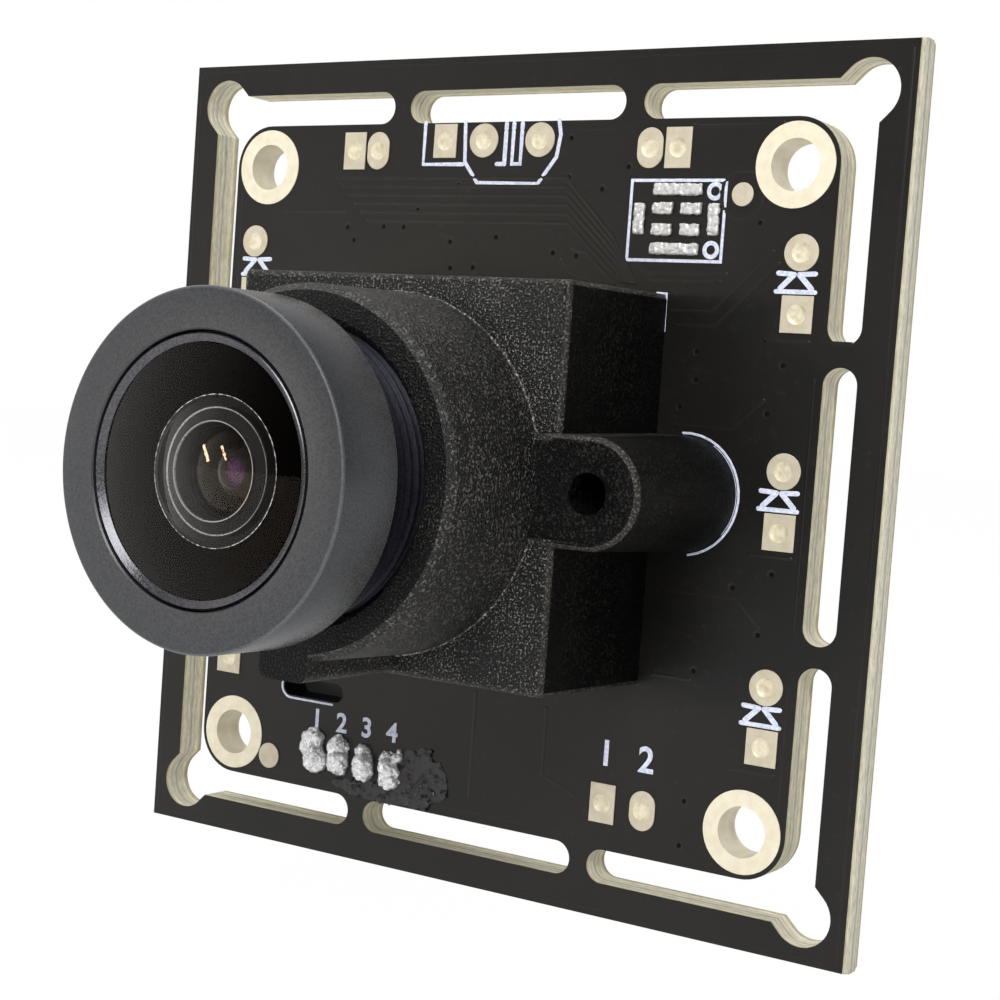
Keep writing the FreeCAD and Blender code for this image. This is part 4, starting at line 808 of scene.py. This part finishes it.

# %% [markdown]
# The solid has the right form, so the holder isn't modelled anew. A bevel rounds the edges of a
# copy, as a mould's edges are, and the bevel's faces get the dim grey of rounded edges, partly wear
# and partly a painted highlight. A face's place and direction then say which grain it has, and
# which painted light or shade.

# %% Holder
holder = copy_of_node("lens_holder")
apply_modifier(holder, "BEVEL", width=0.12 * MM, segments=3, limit_method="ANGLE",
               angle_limit=math.radians(30), material=1)
finish_piece(holder, "holder", "board", [grained, rounded, smooth_and_shaded, boss_side, boss_front],
             32)
BOSS_BACK, BOSS_FRONT = -9.7 * MM, -15.5 * MM
# Off to the sides stand the base's side walls, and beyond them the ears.
EDGE_X, WALL_X, EAR_X = 8.0 * MM, 8.3 * MM, 8.7 * MM
for face in holder.data.polygons:
    place, out = face.center, face.normal
    if face.material_index:
        continue
    # Slanted faces out at the ears take the rounded edges' grey, a painted highlight on their rims.
    if abs(place.x) > EDGE_X and -0.93 < out.y < -0.15:
        face.material_index = 1
    elif abs(place.x) > EAR_X or (abs(out.x) > 0.95 and abs(place.x) > WALL_X):
        face.material_index = 2
    # The boss's face takes the painted shade, its side the painted light.
    elif place.y < BOSS_FRONT:
        face.material_index = 4
    elif place.y < BOSS_BACK:
        face.material_index = 3
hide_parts("lens_holder")

# %% [markdown]
# ## The lens barrel
#
# The barrel is turned from aluminium and black anodised. A turned part is a profile spun round an
# axis, and that is how it is made here too: the profile's corners are drawn by extruding one point,
# and spin carries them round. Cylinders joined by booleans would do, but a profile shows every step
# and chamfer in one list.

# %% Turning a profile
AXIS = (0, 1, 0)  # the lens axis


def close_up(piece, gap=0.001 * MM):
    """Merge doubled points and turn every face outwards."""
    edit(piece)
    bpy.ops.mesh.remove_doubles(threshold=gap)
    bpy.ops.mesh.normals_make_consistent(inside=False)
    leave_edit()


def draw_profile(profile):
    """A chain of edges through (radius, y) points in mm, left in edit mode and selected."""
    clear_selection()
    bpy.ops.mesh.primitive_plane_add(size=MM, location=(0, 0, 0))
    piece = bpy.context.object
    edit(piece, "VERT")
    bpy.ops.mesh.merge(type="CENTER")
    bpy.ops.transform.translate(value=(profile[0][0] * MM, profile[0][1] * MM, 0))
    for (r0, y0), (r1, y1) in zip(profile, profile[1:]):
        bpy.ops.mesh.extrude_region_move(
            TRANSFORM_OT_translate={"value": ((r1 - r0) * MM, (y1 - y0) * MM, 0)})
    bpy.ops.mesh.select_all(action="SELECT")
    return piece


def turned(name, profile, steps=160):
    """Spin a closed profile round the lens axis. One that starts on the axis needs no closing."""
    piece = draw_profile(profile)
    if profile[0][0] > 0:
        leave_edit()
        ends = {0, len(profile) - 1}
        edit(piece, "VERT", lambda v, m: v.index in ends)
        bpy.ops.mesh.edge_face_add()
        bpy.ops.mesh.select_all(action="SELECT")
    bpy.ops.mesh.spin(steps=steps, angle=2 * math.pi, center=(0, 0, 0), axis=AXIS)
    leave_edit()
    close_up(piece)
    piece.name = name
    return piece


def radius_and_y(face):
    """Where a face of a turned piece lies, in mm: its distance from the axis, and its y."""
    return math.hypot(face.center.x, face.center.z) / MM, face.center.y / MM


print("a turned piece has 160 steps round its axis")

# %% [markdown]
# Where the mould's two halves met, a hair of plastic stands round the foot of the holder's boss. It
# shows as a fine pale line, partly rubbed and partly a painted highlight. The same spin makes it,
# as a low rounded ridge.

# %% Parting line
BOSS_FOOT_R, BASE_FRONT_Y = 7.65, -9.6
parting = turned("parting_line", [
    (BOSS_FOOT_R - 0.1, BASE_FRONT_Y + 0.03), (BOSS_FOOT_R + 0.07, BASE_FRONT_Y + 0.03),
    (BOSS_FOOT_R + 0.05, BASE_FRONT_Y - 0.04), (BOSS_FOOT_R, BASE_FRONT_Y - 0.06),
    (BOSS_FOOT_R - 0.1, BASE_FRONT_Y - 0.06)])
finish_piece(parting, "parting_line", "board", [rubbed_and_highlight], 40)

# %% [markdown]
# The barrel's profile follows the solid's, with finer edges. Its tool marks are fine rings, so the
# finish takes its pattern from the distance to the axis.

# %% Barrel sizes
barrel_low, barrel_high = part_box("lens_barrel")
HEAD_FRONT, BARREL_END = barrel_low[1] / MM, barrel_high[1] / MM
HEAD_R, HEAD_BACK = 6.85, HEAD_FRONT + 3.35
THREAD_R, ROOT_R = 5.95, 5.66
print("head from %.2f to %.2f, barrel end %.2f" % (HEAD_FRONT, HEAD_BACK, BARREL_END))

# %% [markdown]
# Anodising leaves aluminium satin black: dark grey in the light, with a soft broad sheen. Turned
# faces keep fine rings from the tool, which draw the sheen out into a fan. Real ones are some
# hundredths of a millimetre apart, and are drawn at 0.07 mm to show at all.

# %% Anodised finishes


def anodised(name, dark, light, roughness, ring=0.07, relief=0.004, **sockets):
    """Satin black with fine rings round the axis, from the turning tool."""
    material, tree, shader = finish(name, dark, roughness, **sockets)
    parts = node(tree, "SeparateXYZ", {}, {0: node(tree, "TexCoord").outputs["Object"]})
    across = node(tree, "CombineXYZ", {}, {0: parts.outputs["X"], 1: parts.outputs["Z"]}).outputs[0]
    radius = node(tree, "VectorMath", {"operation": "LENGTH"}, {0: across}).outputs["Value"]
    along = node(tree, "Math", {"operation": "ADD"}, {0: radius, 1: parts.outputs["Y"]}).outputs[0]
    rings = node(tree, "TexNoise", {"noise_dimensions": "1D"}, {
        "W": along, "Scale": 1 / (ring * MM), "Detail": 2.0}).outputs[0]
    speck = spots(tree, 0.09, detail=3.0)
    shades = ramp(tree, speck, [(0.35, dark), (0.7, light)])
    tree.links.new(shades, shader.inputs["Base Color"])
    dull = spread(tree, speck, roughness - 0.05, roughness + 0.06)
    tree.links.new(dull, shader.inputs["Roughness"])
    under = bump(tree, shader, rings, relief)
    bump(tree, shader, speck, relief, under=under)
    return material


# The head's face is dark grey with a soft sheen.
satin_black = anodised("satin_anodising", "#3d3e40", "#4d4e51", 0.36, Metallic=0.65)
# The head's side is turned finer, so it mirrors the room a little more clearly.
satin_side = anodised("satin_side", "#3c3d3f", "#4c4d50", 0.27, Metallic=0.75)
# Inside the barrel a matt black swallows stray light.
matt_black = anodised("matt_anodising", "#19191a", "#222223", 0.6)
# Sharp edges inside the lens have lost their black, and shine.
bright_edge = anodised("polished_edge", "#9a9a9c", "#b4b4b6", 0.3, Metallic=0.8)
# The head's front chamfer is painted a little paler than the faces beside it: a painted highlight.
head_edge_highlight = anodised("head_edge_highlight", "#4d4e50", "#606163", 0.35, Metallic=0.5)
# The flanks of the thread are smoother than the head and keep a bluish black.
thread_metal = anodised("thread_anodising", "#1f1f27", "#34343f", 0.36, Metallic=0.6)
# The ring that holds the glass is polished first, so its bevel shines where it faces the light.
ring_metal = anodised("ring_anodising", "#4e4e51", "#66666a", 0.28, Metallic=0.85)
# The spacer is blackened to keep it out of the picture: next to no gloss.
spacer_metal = anodised("spacer_anodising", "#0a0a0b", "#131314", 0.5, Specular_IOR_Level=0.15)
print("eight anodised finishes")

# %% [markdown]
# The barrel's profile starts at its mouth, runs over the head, down the neck and back up the bore.
# The thread is left out of it, because a thread isn't round.

# %% Barrel
MOUTH_R, SEAT_R, BORE_R, REAR_R = 5.23, 5.03, 3.6, 4.7
barrel = turned("barrel", [
    (MOUTH_R, HEAD_FRONT + 0.06), (MOUTH_R + 0.06, HEAD_FRONT), (HEAD_R - 0.1, HEAD_FRONT),
    (HEAD_R - 0.03, HEAD_FRONT + 0.03), (HEAD_R, HEAD_FRONT + 0.1), (HEAD_R, HEAD_BACK - 0.12),
    (HEAD_R - 0.12, HEAD_BACK), (ROOT_R + 0.02, HEAD_BACK), (ROOT_R, HEAD_BACK + 0.05),
    (ROOT_R, BARREL_END - 0.2), (ROOT_R - 0.2, BARREL_END), (REAR_R, BARREL_END),
    (REAR_R, BARREL_END - 0.6), (BORE_R, BARREL_END - 0.6), (BORE_R, HEAD_FRONT + 2.2),
    (SEAT_R, HEAD_FRONT + 2.2), (SEAT_R, HEAD_FRONT + 1.1), (MOUTH_R, HEAD_FRONT + 1.1)])
finish_piece(barrel, "barrel", "lens", [satin_black, matt_black, head_edge_highlight, satin_side],
             30)
for face in barrel.data.polygons:
    r, y = radius_and_y(face)
    # The slanted chamfer at the head's front takes the painted highlight.
    slanted = HEAD_R - 0.1 < r < HEAD_R - 0.001 and y < HEAD_FRONT + 0.1
    side = r > HEAD_R - 0.01 and abs(face.normal.y) < 0.5
    inside = r < 5.2 or y > HEAD_BACK + 0.01
    face.material_index = 2 if slanted else 3 if side else 1 if inside else 0
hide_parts("lens_barrel")

# %% [markdown]
# The screw thread is one ridge that winds round the barrel. Its profile is drawn once, and the
# screw modifier sweeps it along the helix, half a millimetre for each turn. A stack of rings would
# look much the same from afar, but a lens on rings couldn't be screwed in.

# %% Thread
PITCH, TURNS, TURN_STEPS = 0.5, 19, 56
start_y = HEAD_BACK + 0.55
thread = draw_profile([
    (ROOT_R - 0.08, start_y - 0.16), (THREAD_R, start_y - 0.03), (THREAD_R, start_y + 0.03),
    (ROOT_R - 0.08, start_y + 0.16)])
bpy.ops.mesh.edge_face_add()
leave_edit()
apply_modifier(
    thread, "SCREW", axis="Y", angle=2 * math.pi * TURNS, screw_offset=PITCH * MM * TURNS,
    steps=TURN_STEPS * TURNS, render_steps=TURN_STEPS * TURNS, use_smooth_shade=True)
close_up(thread)
finish_piece(thread, "barrel_thread", "lens", [thread_metal], 30)

# %% [markdown]
# ## The front of the lens
#
# A bevelled ring holds the front glass. The glass is a deep meniscus: nearly flat in front, with a
# bowl in its back, and the flat round the bowl is painted black. That paint is why the glass looks
# black except in the middle. The ground rim of the bowl shows as a fine bright line.

# %% Retaining ring
GLASS_EDGE = HEAD_FRONT + 0.22
ring_piece = turned("retaining_ring", [
    (5.1, HEAD_FRONT + 0.07), (5.12, HEAD_FRONT + 0.4), (5.2, HEAD_FRONT + 0.45),
    (5.2, HEAD_FRONT + 1.1), (SEAT_R, HEAD_FRONT + 1.1), (SEAT_R, GLASS_EDGE + 0.03),
    (4.8, GLASS_EDGE + 0.03), (4.8, GLASS_EDGE), (5.06, HEAD_FRONT + 0.04)])
finish_piece(ring_piece, "retaining_ring", "lens", [ring_metal], 30)
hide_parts("front_retainer")

# %% [markdown]
# Glass is the one finish here that light goes through. Its faces carry coatings that cancel most
# of the mirror image and tint the rest, and the specular tint does the same. In a render, glass
# casts a full shadow unless it is told not to. So lamps are let straight through, and light what
# lies behind.

# %% Coated glass


def coated_glass(name, colour, tint, index):
    """Clear glass whose coating leaves a mirror image of that tint. Lamps shine through it."""
    material, tree, shader = finish(name, colour, 0.0, Transmission_Weight=1.0, IOR=index)
    shader.inputs["Specular Tint"].default_value = linear(tint)
    path = node(tree, "LightPath")
    lighting = node(tree, "Math", {"operation": "MAXIMUM"}, {
        0: path.outputs["Is Shadow Ray"], 1: path.outputs["Is Diffuse Ray"]}).outputs[0]
    mix = node(tree, "MixShader", {}, {
        0: lighting, 1: shader.outputs[0], 2: node(tree, "BsdfTransparent").outputs[0]})
    tree.links.new(mix.outputs[0], tree.nodes["Material Output"].inputs["Surface"])
    return material


# The front face mirrors a little brown: the two windows show in it as warm bars.
coated = coated_glass("coated_glass", "#f6f3f0", "#8f8478", 1.5)
# The bowl has the full coating and throws back next to nothing.
bowl_coat = coated_glass("bowl_coating", "#f6f3f0", "#050505", 1.5)
# The second glass has a thinner coating, which leaves a brownish image.
inner_coat = coated_glass("inner_coating", "#f3efe9", "#8a7860", 1.6)
# A coating for the far end of the spectrum throws back purple.
purple_coat = coated_glass("purple_coating", "#e6d4ec", "#b060c8", 1.6)
# Paint behind glass gives no mirror image of its own: plain black.
back_paint, _, _ = finish("black_edge_paint", "#000000", 0.7, Specular_IOR_Level=0.0)
# Ground glass is white and matt, and breaks up into grit under the light. Real grit is too fine to
# see, and is drawn at 0.16 mm, so that the line looks broken as it does in the lens. The breaks are
# partly grit and partly a painted reflection: the dark gaps stand for breaks in the ring's
# reflection.
ground_rim, tree, shader = finish("ground_rim", "#c9c9cc", 0.6)
grit_and_broken_reflection = spots(tree, 0.16, detail=2.0)
tree.links.new(ramp(tree, grit_and_broken_reflection, [(0.42, "#2a2a2c"), (0.6, "#c4c4c6")]), shader.inputs["Base Color"])
print("four coatings, black paint and ground glass")

# %% [markdown]
# The glass's profile runs from the axis over the front face, down the edge and back through the
# painted flat and the bowl to the axis. Being one closed shell, it bends light as the real one
# does.

# %% Front glass
FACE_R, GLASS_R = 4.77, 5.0
GLASS_CURVE, BOWL_CURVE, BOWL_R = 20.0, 10.0, 2.74


def dome(curve, edge, y_edge, out, steps=10):
    """Points from the axis to the edge of a spherical face that bulges towards out."""
    points = []
    for i in range(steps + 1):
        r = edge * i / steps
        rise = math.sqrt(curve * curve - r * r) - math.sqrt(curve * curve - edge * edge)
        points.append((r, y_edge + out * rise))
    return points


front_sag = GLASS_CURVE - math.sqrt(GLASS_CURVE ** 2 - FACE_R ** 2)
GLASS_FRONT, GLASS_BACK = [corner[1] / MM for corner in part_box("front_element")]
# The painted flat lies a little before the glass's rear face, where the photo's ring stands.
PAINT_Y = GLASS_BACK - 0.25
outer = dome(GLASS_CURVE, FACE_R, GLASS_FRONT + front_sag, -1, 14)
bowl = dome(BOWL_CURVE, BOWL_R, PAINT_Y, -1, 14)
front_glass = turned("front_glass", outer + [
    (FACE_R, GLASS_EDGE + 0.06), (GLASS_R, GLASS_EDGE + 0.06), (GLASS_R, GLASS_BACK),
    (3.7, GLASS_BACK), (3.65, PAINT_Y), (BOWL_R + 0.03, PAINT_Y)] + bowl[::-1])
finish_piece(front_glass, "front_glass", "lens", [coated, back_paint, ground_rim, bowl_coat],
             25)
for face in front_glass.data.polygons:
    r, y = radius_and_y(face)
    if r > BOWL_R + 0.026 and y > PAINT_Y - 0.001:
        face.material_index = 1
    elif r > BOWL_R + 0.002 and y > PAINT_Y - 0.001:
        face.material_index = 2
    elif r > FACE_R - 0.01:
        face.material_index = 1
    elif face.normal.y > 0:
        face.material_index = 3
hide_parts("front_element")

# %% [markdown]
# ## Inside the lens
#
# Behind the front glass sits a stepped spacer. Its collar stands up into the bowl. The foot and the
# lip of the collar have bare bright edges, which are the two inner rings that one sees in the lens.
# The collar is turned like the barrel, and its two edges are faces a few hundredths wide.

# %% Stepped spacer
S0, S1 = [corner[1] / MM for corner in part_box("spacer_ring")]
STACK_R, COLLAR_R, LIP_R, FOOT_R = 3.57, 1.66, 1.78, 2.28
spacer = turned("stepped_spacer", [
    (FOOT_R + 0.05, PAINT_Y), (2.36, PAINT_Y + 0.03), (2.4, S0 + 0.1), (STACK_R, S0 + 0.1),
    (STACK_R, S1), (COLLAR_R, S1), (COLLAR_R, PAINT_Y + 0.75), (1.73, PAINT_Y + 0.68),
    (1.73, PAINT_Y + 0.45), (LIP_R, PAINT_Y + 0.4), (LIP_R, PAINT_Y - 0.12),
    (LIP_R + 0.01, PAINT_Y - 0.17), (LIP_R + 0.05, PAINT_Y - 0.17), (1.9, PAINT_Y - 0.08),
    (FOOT_R, PAINT_Y + 0.02)])
finish_piece(spacer, "stepped_spacer", "lens_carriage", [spacer_metal, bright_edge],
             30)
for face in spacer.data.polygons:
    r, y = radius_and_y(face)
    lip = LIP_R < r < LIP_R + 0.06 and y < PAINT_Y - 0.1
    foot = FOOT_R < r < FOOT_R + 0.05 and y < PAINT_Y + 0.02
    face.material_index = 1 if lip or foot else 0
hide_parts("spacer_ring")

# %% [markdown]
# The second glass fills the collar. Its front bulges and its back is hollow, so it is drawn like
# the front glass. Where it is thickest its side is painted black, so that no light gets round it.

# %% Second glass
SECOND_CURVE, SECOND_HOLLOW, SECOND_R, HOLLOW_R = 4.0, 2.4, 1.64, 1.6
D0, D1 = S1 + 0.03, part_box("second_element")[1][1] / MM
second_glass = turned("second_glass", dome(SECOND_CURVE, SECOND_R, PAINT_Y + 0.3, -1, 14) + [
    (SECOND_R, D0), (STACK_R, D0), (STACK_R, D1), (1.8, D1)] + dome(
        SECOND_HOLLOW, HOLLOW_R, D0 + 0.33, -1, 14)[::-1])
finish_piece(second_glass, "second_glass", "lens_carriage", [inner_coat, back_paint],
             25)
for face in second_glass.data.polygons:
    r, y = radius_and_y(face)
    face.material_index = 1 if r > SECOND_R + 0.02 or abs(face.normal.y) < 0.1 else 0
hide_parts("second_element")

# %% [markdown]
# The stop is a thin black cone that reaches forward to a small hole. The crown of the third glass
# stands in it, and through the hole one sees a deep purple. That purple is light thrown back by a
# coating far inside. A true coating on glass would show it only by luck of the light, so the crown
# is a closed cap with the purple as a painted reflection, mottled as the real image is.

# %% Stop and pupil
stop_front, stop_back = [corner[1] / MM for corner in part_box("aperture_stop")]
PUPIL_R, TIP = 0.58, stop_front - 1.97
stop = turned("pupil_stop", [
    (PUPIL_R, TIP), (1.5, stop_front), (STACK_R, stop_front),
    (STACK_R, stop_back), (1.45, stop_back), (PUPIL_R - 0.02, TIP + 0.04)])
finish_piece(stop, "pupil_stop", "lens_carriage", [matt_black], 30)
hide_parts("aperture_stop")
# Purple flecks on near black: a painted reflection of the light that the coating throws back.
purple_painted_reflection = mottled("purple_painted_reflection", ("#4f2c58", "#160a1b"), 0.12, (0.1, 0.3), 0.004)
dress("third_element", purple_painted_reflection)
CROWN_CURVE, CROWN_R = 1.2, 0.54
crown = turned("third_glass_crown", dome(CROWN_CURVE, CROWN_R, TIP + 0.24, -1, 8) + [
    (CROWN_R, TIP + 0.6), (0, TIP + 0.6)])
finish_piece(crown, "third_glass_crown", "lens_carriage", [purple_painted_reflection], 40)
dress("rear_element", purple_coat)
for name in ("rear_spacer", "rear_retainer"):
    dress(name, matt_black)

# %% [markdown]
# ## The rear of the board
#
# The rear has what such boards carry: the processor, the memory, regulators, a crystal, coils and
# small parts, and the socket for the cable. The solids have the right forms, so they stay as they
# are, and each gets the finish of its kind. A table of names and finishes is quicker to read and to
# change than a line of code for each.

# %% Rear finishes
# Moulded epoxy is a dull charcoal with a fine sandy surface.
epoxy = mottled("chip_epoxy", ("#1c1c1d", "#29292a"), 0.12, (0.55, 0.7), 0.006)
# Tinned leads are bright and a little warm, and blur what they mirror.
tinned_lead = mottled("tinned_lead", ("#cfcdc9", "#b3b1ac"), 0.2, (0.25, 0.4), 0.004, Metallic=0.9)
# The crystal's can is smooth nickel, yellower than tin.
nickel = mottled("nickel_can", ("#c9c4b8", "#b4afa4"), 0.8, (0.22, 0.32), 0.002, Metallic=1.0)
# Ferrite is a dry grey-black, like slate.
ferrite = mottled("ferrite", ("#3a3a3b", "#2c2c2d"), 0.1, (0.7, 0.85), 0.01)
# Capacitors are fired ceramic: tan and smooth as eggshell.
buff_ceramic = mottled("buff_ceramic", ("#b59470", "#a6845f"), 0.15, (0.5, 0.65), 0.004)
# Resistors have a glassy bluish black glaze.
black_glaze = mottled("black_glaze", ("#17181c", "#202228"), 0.2, (0.25, 0.35), 0.002)
# Natural nylon is cream, and a little light goes into it, which softens its edges.
nylon = mottled("natural_nylon", ("#efe9da", "#e4dcc9"), 1.2, (0.4, 0.5), 0.006,
                Subsurface_Weight=0.15, Subsurface_Scale=0.4 * MM)
# Black nickel on the screws looks like smoke on metal.
black_nickel = mottled(
    "black_nickel", ("#59595b", "#48484a"), 0.3, (0.28, 0.4), 0.003, Metallic=0.9)
# The sensor's ceramic package is brown and matt.
package = mottled("sensor_package", ("#5d5750", "#4f4a44"), 0.2, (0.6, 0.75), 0.005)
# Plain thin glass covers the sensor, and a bluish one before it holds back the infrared.
cover, _, _ = finish("cover_glass", "#f4f6f6", 0.0, Transmission_Weight=1.0, IOR=1.5)
filter_glass, _, _ = finish("filter_glass", "#b9e2e4", 0.0, Transmission_Weight=1.0, IOR=1.5)
# The die is polished silicon behind a colour filter: a fine grid of cells over iridescent brown.
# The real cells are a few thousandths of a millimetre, and are drawn at 0.12 mm to be seen as a
# grid.
silicon, tree, shader = finish("sensor_die", "#3a3040", 0.2, Metallic=0.6)
cells = node(tree, "TexVoronoi", {"distance": "CHEBYCHEV"}, {
    "Vector": node(tree, "TexCoord").outputs["Object"], "Scale": 1 / (0.12 * MM),
    "Randomness": 0.0}).outputs[0]
tree.links.new(
    ramp(tree, cells, [(0.3, "#4a3a5c"), (0.48, "#2a2433")]), shader.inputs["Base Color"])
REAR = {
    "holder_screws": black_nickel, "image_sensor": package, "sensor_die": silicon,
    "sensor_cover_glass": cover, "infrared_filter": filter_glass, "cable_connector": nylon,
    "connector_pins": tinned_lead, "controller_chip": epoxy, "memory_chip": epoxy,
    "voltage_regulators": epoxy, "controller_leads": tinned_lead, "memory_leads": tinned_lead,
    "regulator_leads": tinned_lead, "clock_crystal": nickel, "power_inductor": ferrite,
    "line_choke": ferrite, "chip_capacitors": buff_ceramic, "chip_resistors": black_glaze,
    "chip_terminals": tinned_lead,
}
for name, material in REAR.items():
    dress(name, material)
print(len(REAR), "carried-over solids dressed")

# %% [markdown]
# ## Floor, light and camera
#
# The picture has a plain white ground. The floor is white for the camera and for reflections, and a
# small share of it is a diffuse white that takes the object's shadow. A floor that only glows would
# hide the shadow, and one that is only lit would turn grey.

# %% Floor
WHITE_SHARE, BELOW_BOARD = 0.99, 0.02 * MM
floor_z = board_low[2]
clear_selection()
bpy.ops.mesh.primitive_plane_add(size=1.6, location=(0, 0.2, floor_z - BELOW_BOARD))
floor = bpy.context.object
floor.name = "floor"
floor_white = bpy.data.materials.new("floor_white")
floor_white.use_nodes = True
tree = floor_white.node_tree
tree.nodes.clear()
path = node(tree, "LightPath")
seen = node(tree, "Math", {"operation": "MAXIMUM"}, {
    0: path.outputs["Is Camera Ray"], 1: path.outputs["Is Transmission Ray"]}).outputs[0]
seen = node(tree, "Math", {"operation": "MAXIMUM"}, {0: seen, 1: path.outputs["Is Glossy Ray"]})
share = node(tree, "Math", {"operation": "MULTIPLY"}, {0: seen.outputs[0], 1: WHITE_SHARE})
mix = node(tree, "MixShader", {}, {
    0: share.outputs[0], 1: node(tree, "BsdfDiffuse", {}, {"Color": linear("#f4f4f2")}).outputs[0],
    2: node(tree, "Emission", {}, {"Color": (1, 1, 1, 1), "Strength": 1.0}).outputs[0]})
node(tree, "OutputMaterial", {}, {"Surface": mix.outputs[0]})
floor.data.materials.append(floor_white)
print("floor at %.2f mm" % (floor_z / MM))

# %% [markdown]
# The world is a dim room with one bright side, at the left. Gloss needs something to mirror, and
# the change from dim to bright is what rounds off the metal. Behind the object the room is white
# for whatever mirrors it, like the ground in the picture. A picture of a room could do this, but
# three values are easier to set to the photograph.

# %% World
WORLD_DIM, WORLD_BRIGHT = 0.13, 1.0
BRIGHT_SIDE = Vector((-0.95, -0.1, -0.05)).normalized()
world = bpy.data.worlds.new("studio")
bpy.context.scene.world = world
world.use_nodes = True
tree = world.node_tree
tree.nodes.clear()
heading = node(tree, "TexCoord").outputs["Generated"]
turned_to = node(tree, "VectorMath", {"operation": "DOT_PRODUCT"}, {
    0: heading, 1: BRIGHT_SIDE}).outputs["Value"]
room = node(tree, "MapRange", {"interpolation_type": "SMOOTHSTEP"}, {
    "Value": turned_to, "From Min": 0.3, "From Max": 0.95,
    "To Min": WORLD_DIM, "To Max": WORLD_BRIGHT}).outputs[0]
path = node(tree, "LightPath")
mirrored = node(tree, "Math", {"operation": "MAXIMUM"}, {
    0: path.outputs["Is Glossy Ray"], 1: path.outputs["Is Transmission Ray"]}).outputs[0]
behind = node(tree, "MapRange", {"interpolation_type": "SMOOTHSTEP"}, {
    "Value": node(tree, "SeparateXYZ", {}, {0: heading}).outputs["Y"],
    "From Min": 0.3, "From Max": 0.8}).outputs[0]
backdrop = node(tree, "Math", {"operation": "MULTIPLY"}, {0: mirrored, 1: behind}).outputs[0]
white = node(tree, "Math", {"operation": "MAXIMUM"}, {
    0: backdrop, 1: path.outputs["Is Camera Ray"]}).outputs[0]
level = node(tree, "Mix", {"data_type": "FLOAT"}, {0: white, 2: room, 3: 1.0}).outputs[0]
back = node(tree, "Background", {}, {"Color": (1, 1, 1, 1), "Strength": level})
node(tree, "OutputWorld", {}, {"Surface": back.outputs[0]})
print("room from %.2f to %.2f" % (WORLD_DIM, WORLD_BRIGHT))

# %% [markdown]
# Two large soft lamps light the object: the key, in front and above, and a ceiling. Two narrow
# windows at the left are there to be mirrored in the front glass, as two short bars. A weak lamp
# before the lens lights what lies deep inside it, and isn't mirrored itself.

# %% Lamps
# Name, place and the two sides in metres, power in watts, roll in degrees.
LENS_AIM = Vector((0, -0.008, 0))
LAMPS = [
    ("key_over_camera", (0.12, -0.33, 0.25), 0.25, 0.25, 1.85, 0),
    ("ceiling", (-0.1, 0.02, 0.42), 0.35, 0.35, 1.2, 0),
    ("left_window", (-0.1796, -0.2615, 0.0064), 0.0045, 0.02, 0.02, 30),
    ("right_window", (-0.1565, -0.2766, 0.0091), 0.004, 0.018, 0.014, 30),
    ("pupil_light", (0.05, -0.33, 0.02), 0.05, 0.05, 0.25, 0),
]
for name, place, size, height, power, roll in LAMPS:
    clear_selection()
    bpy.ops.object.light_add(type="AREA", location=place)
    lamp = bpy.context.object
    lamp.name = name
    lamp.data.shape = "RECTANGLE"
    lamp.data.size = size
    lamp.data.size_y = height
    lamp.data.energy = power
    lamp.visible_transmission = False
    lamp.visible_glossy = name != "pupil_light"
    aim = LENS_AIM - Vector(place)
    lamp.rotation_euler = aim.to_track_quat("-Z", "Y").to_euler()
    if roll:
        lamp.data.color = linear("#ffe6c8")[:3]
        lamp.rotation_euler.rotate_axis("Z", math.radians(roll))
print("%d lamps, %.2f W in all" % (len(LAMPS), sum(entry[4] for entry in LAMPS)))

# %% [markdown]
# The camera stands to the right of the lens and looks at it past the board. Its place, turn and
# lens were solved from the corners and holes of the board in the photograph, because the eye sees
# at once when a perspective is only nearly right. A small shift frames it.

# %% Camera
CAMERA_PLACE = (0.047398, -0.074836, 0.003322)
CAMERA_TURN = (86.2869, -4.1611, 32.3329)
clear_selection()
bpy.ops.object.camera_add(
    location=CAMERA_PLACE, rotation=[math.radians(a) for a in CAMERA_TURN])
camera = bpy.context.object
camera.name = "photo_camera"
camera.data.lens = 68.793
camera.data.sensor_width = 36
camera.data.shift_x = -0.012728
camera.data.shift_y = 0.027743
camera.data.clip_start = 0.005
bpy.context.scene.camera = camera
bpy.context.scene.view_settings.view_transform = "Standard"
print("camera with a %.1f mm lens" % camera.data.lens)
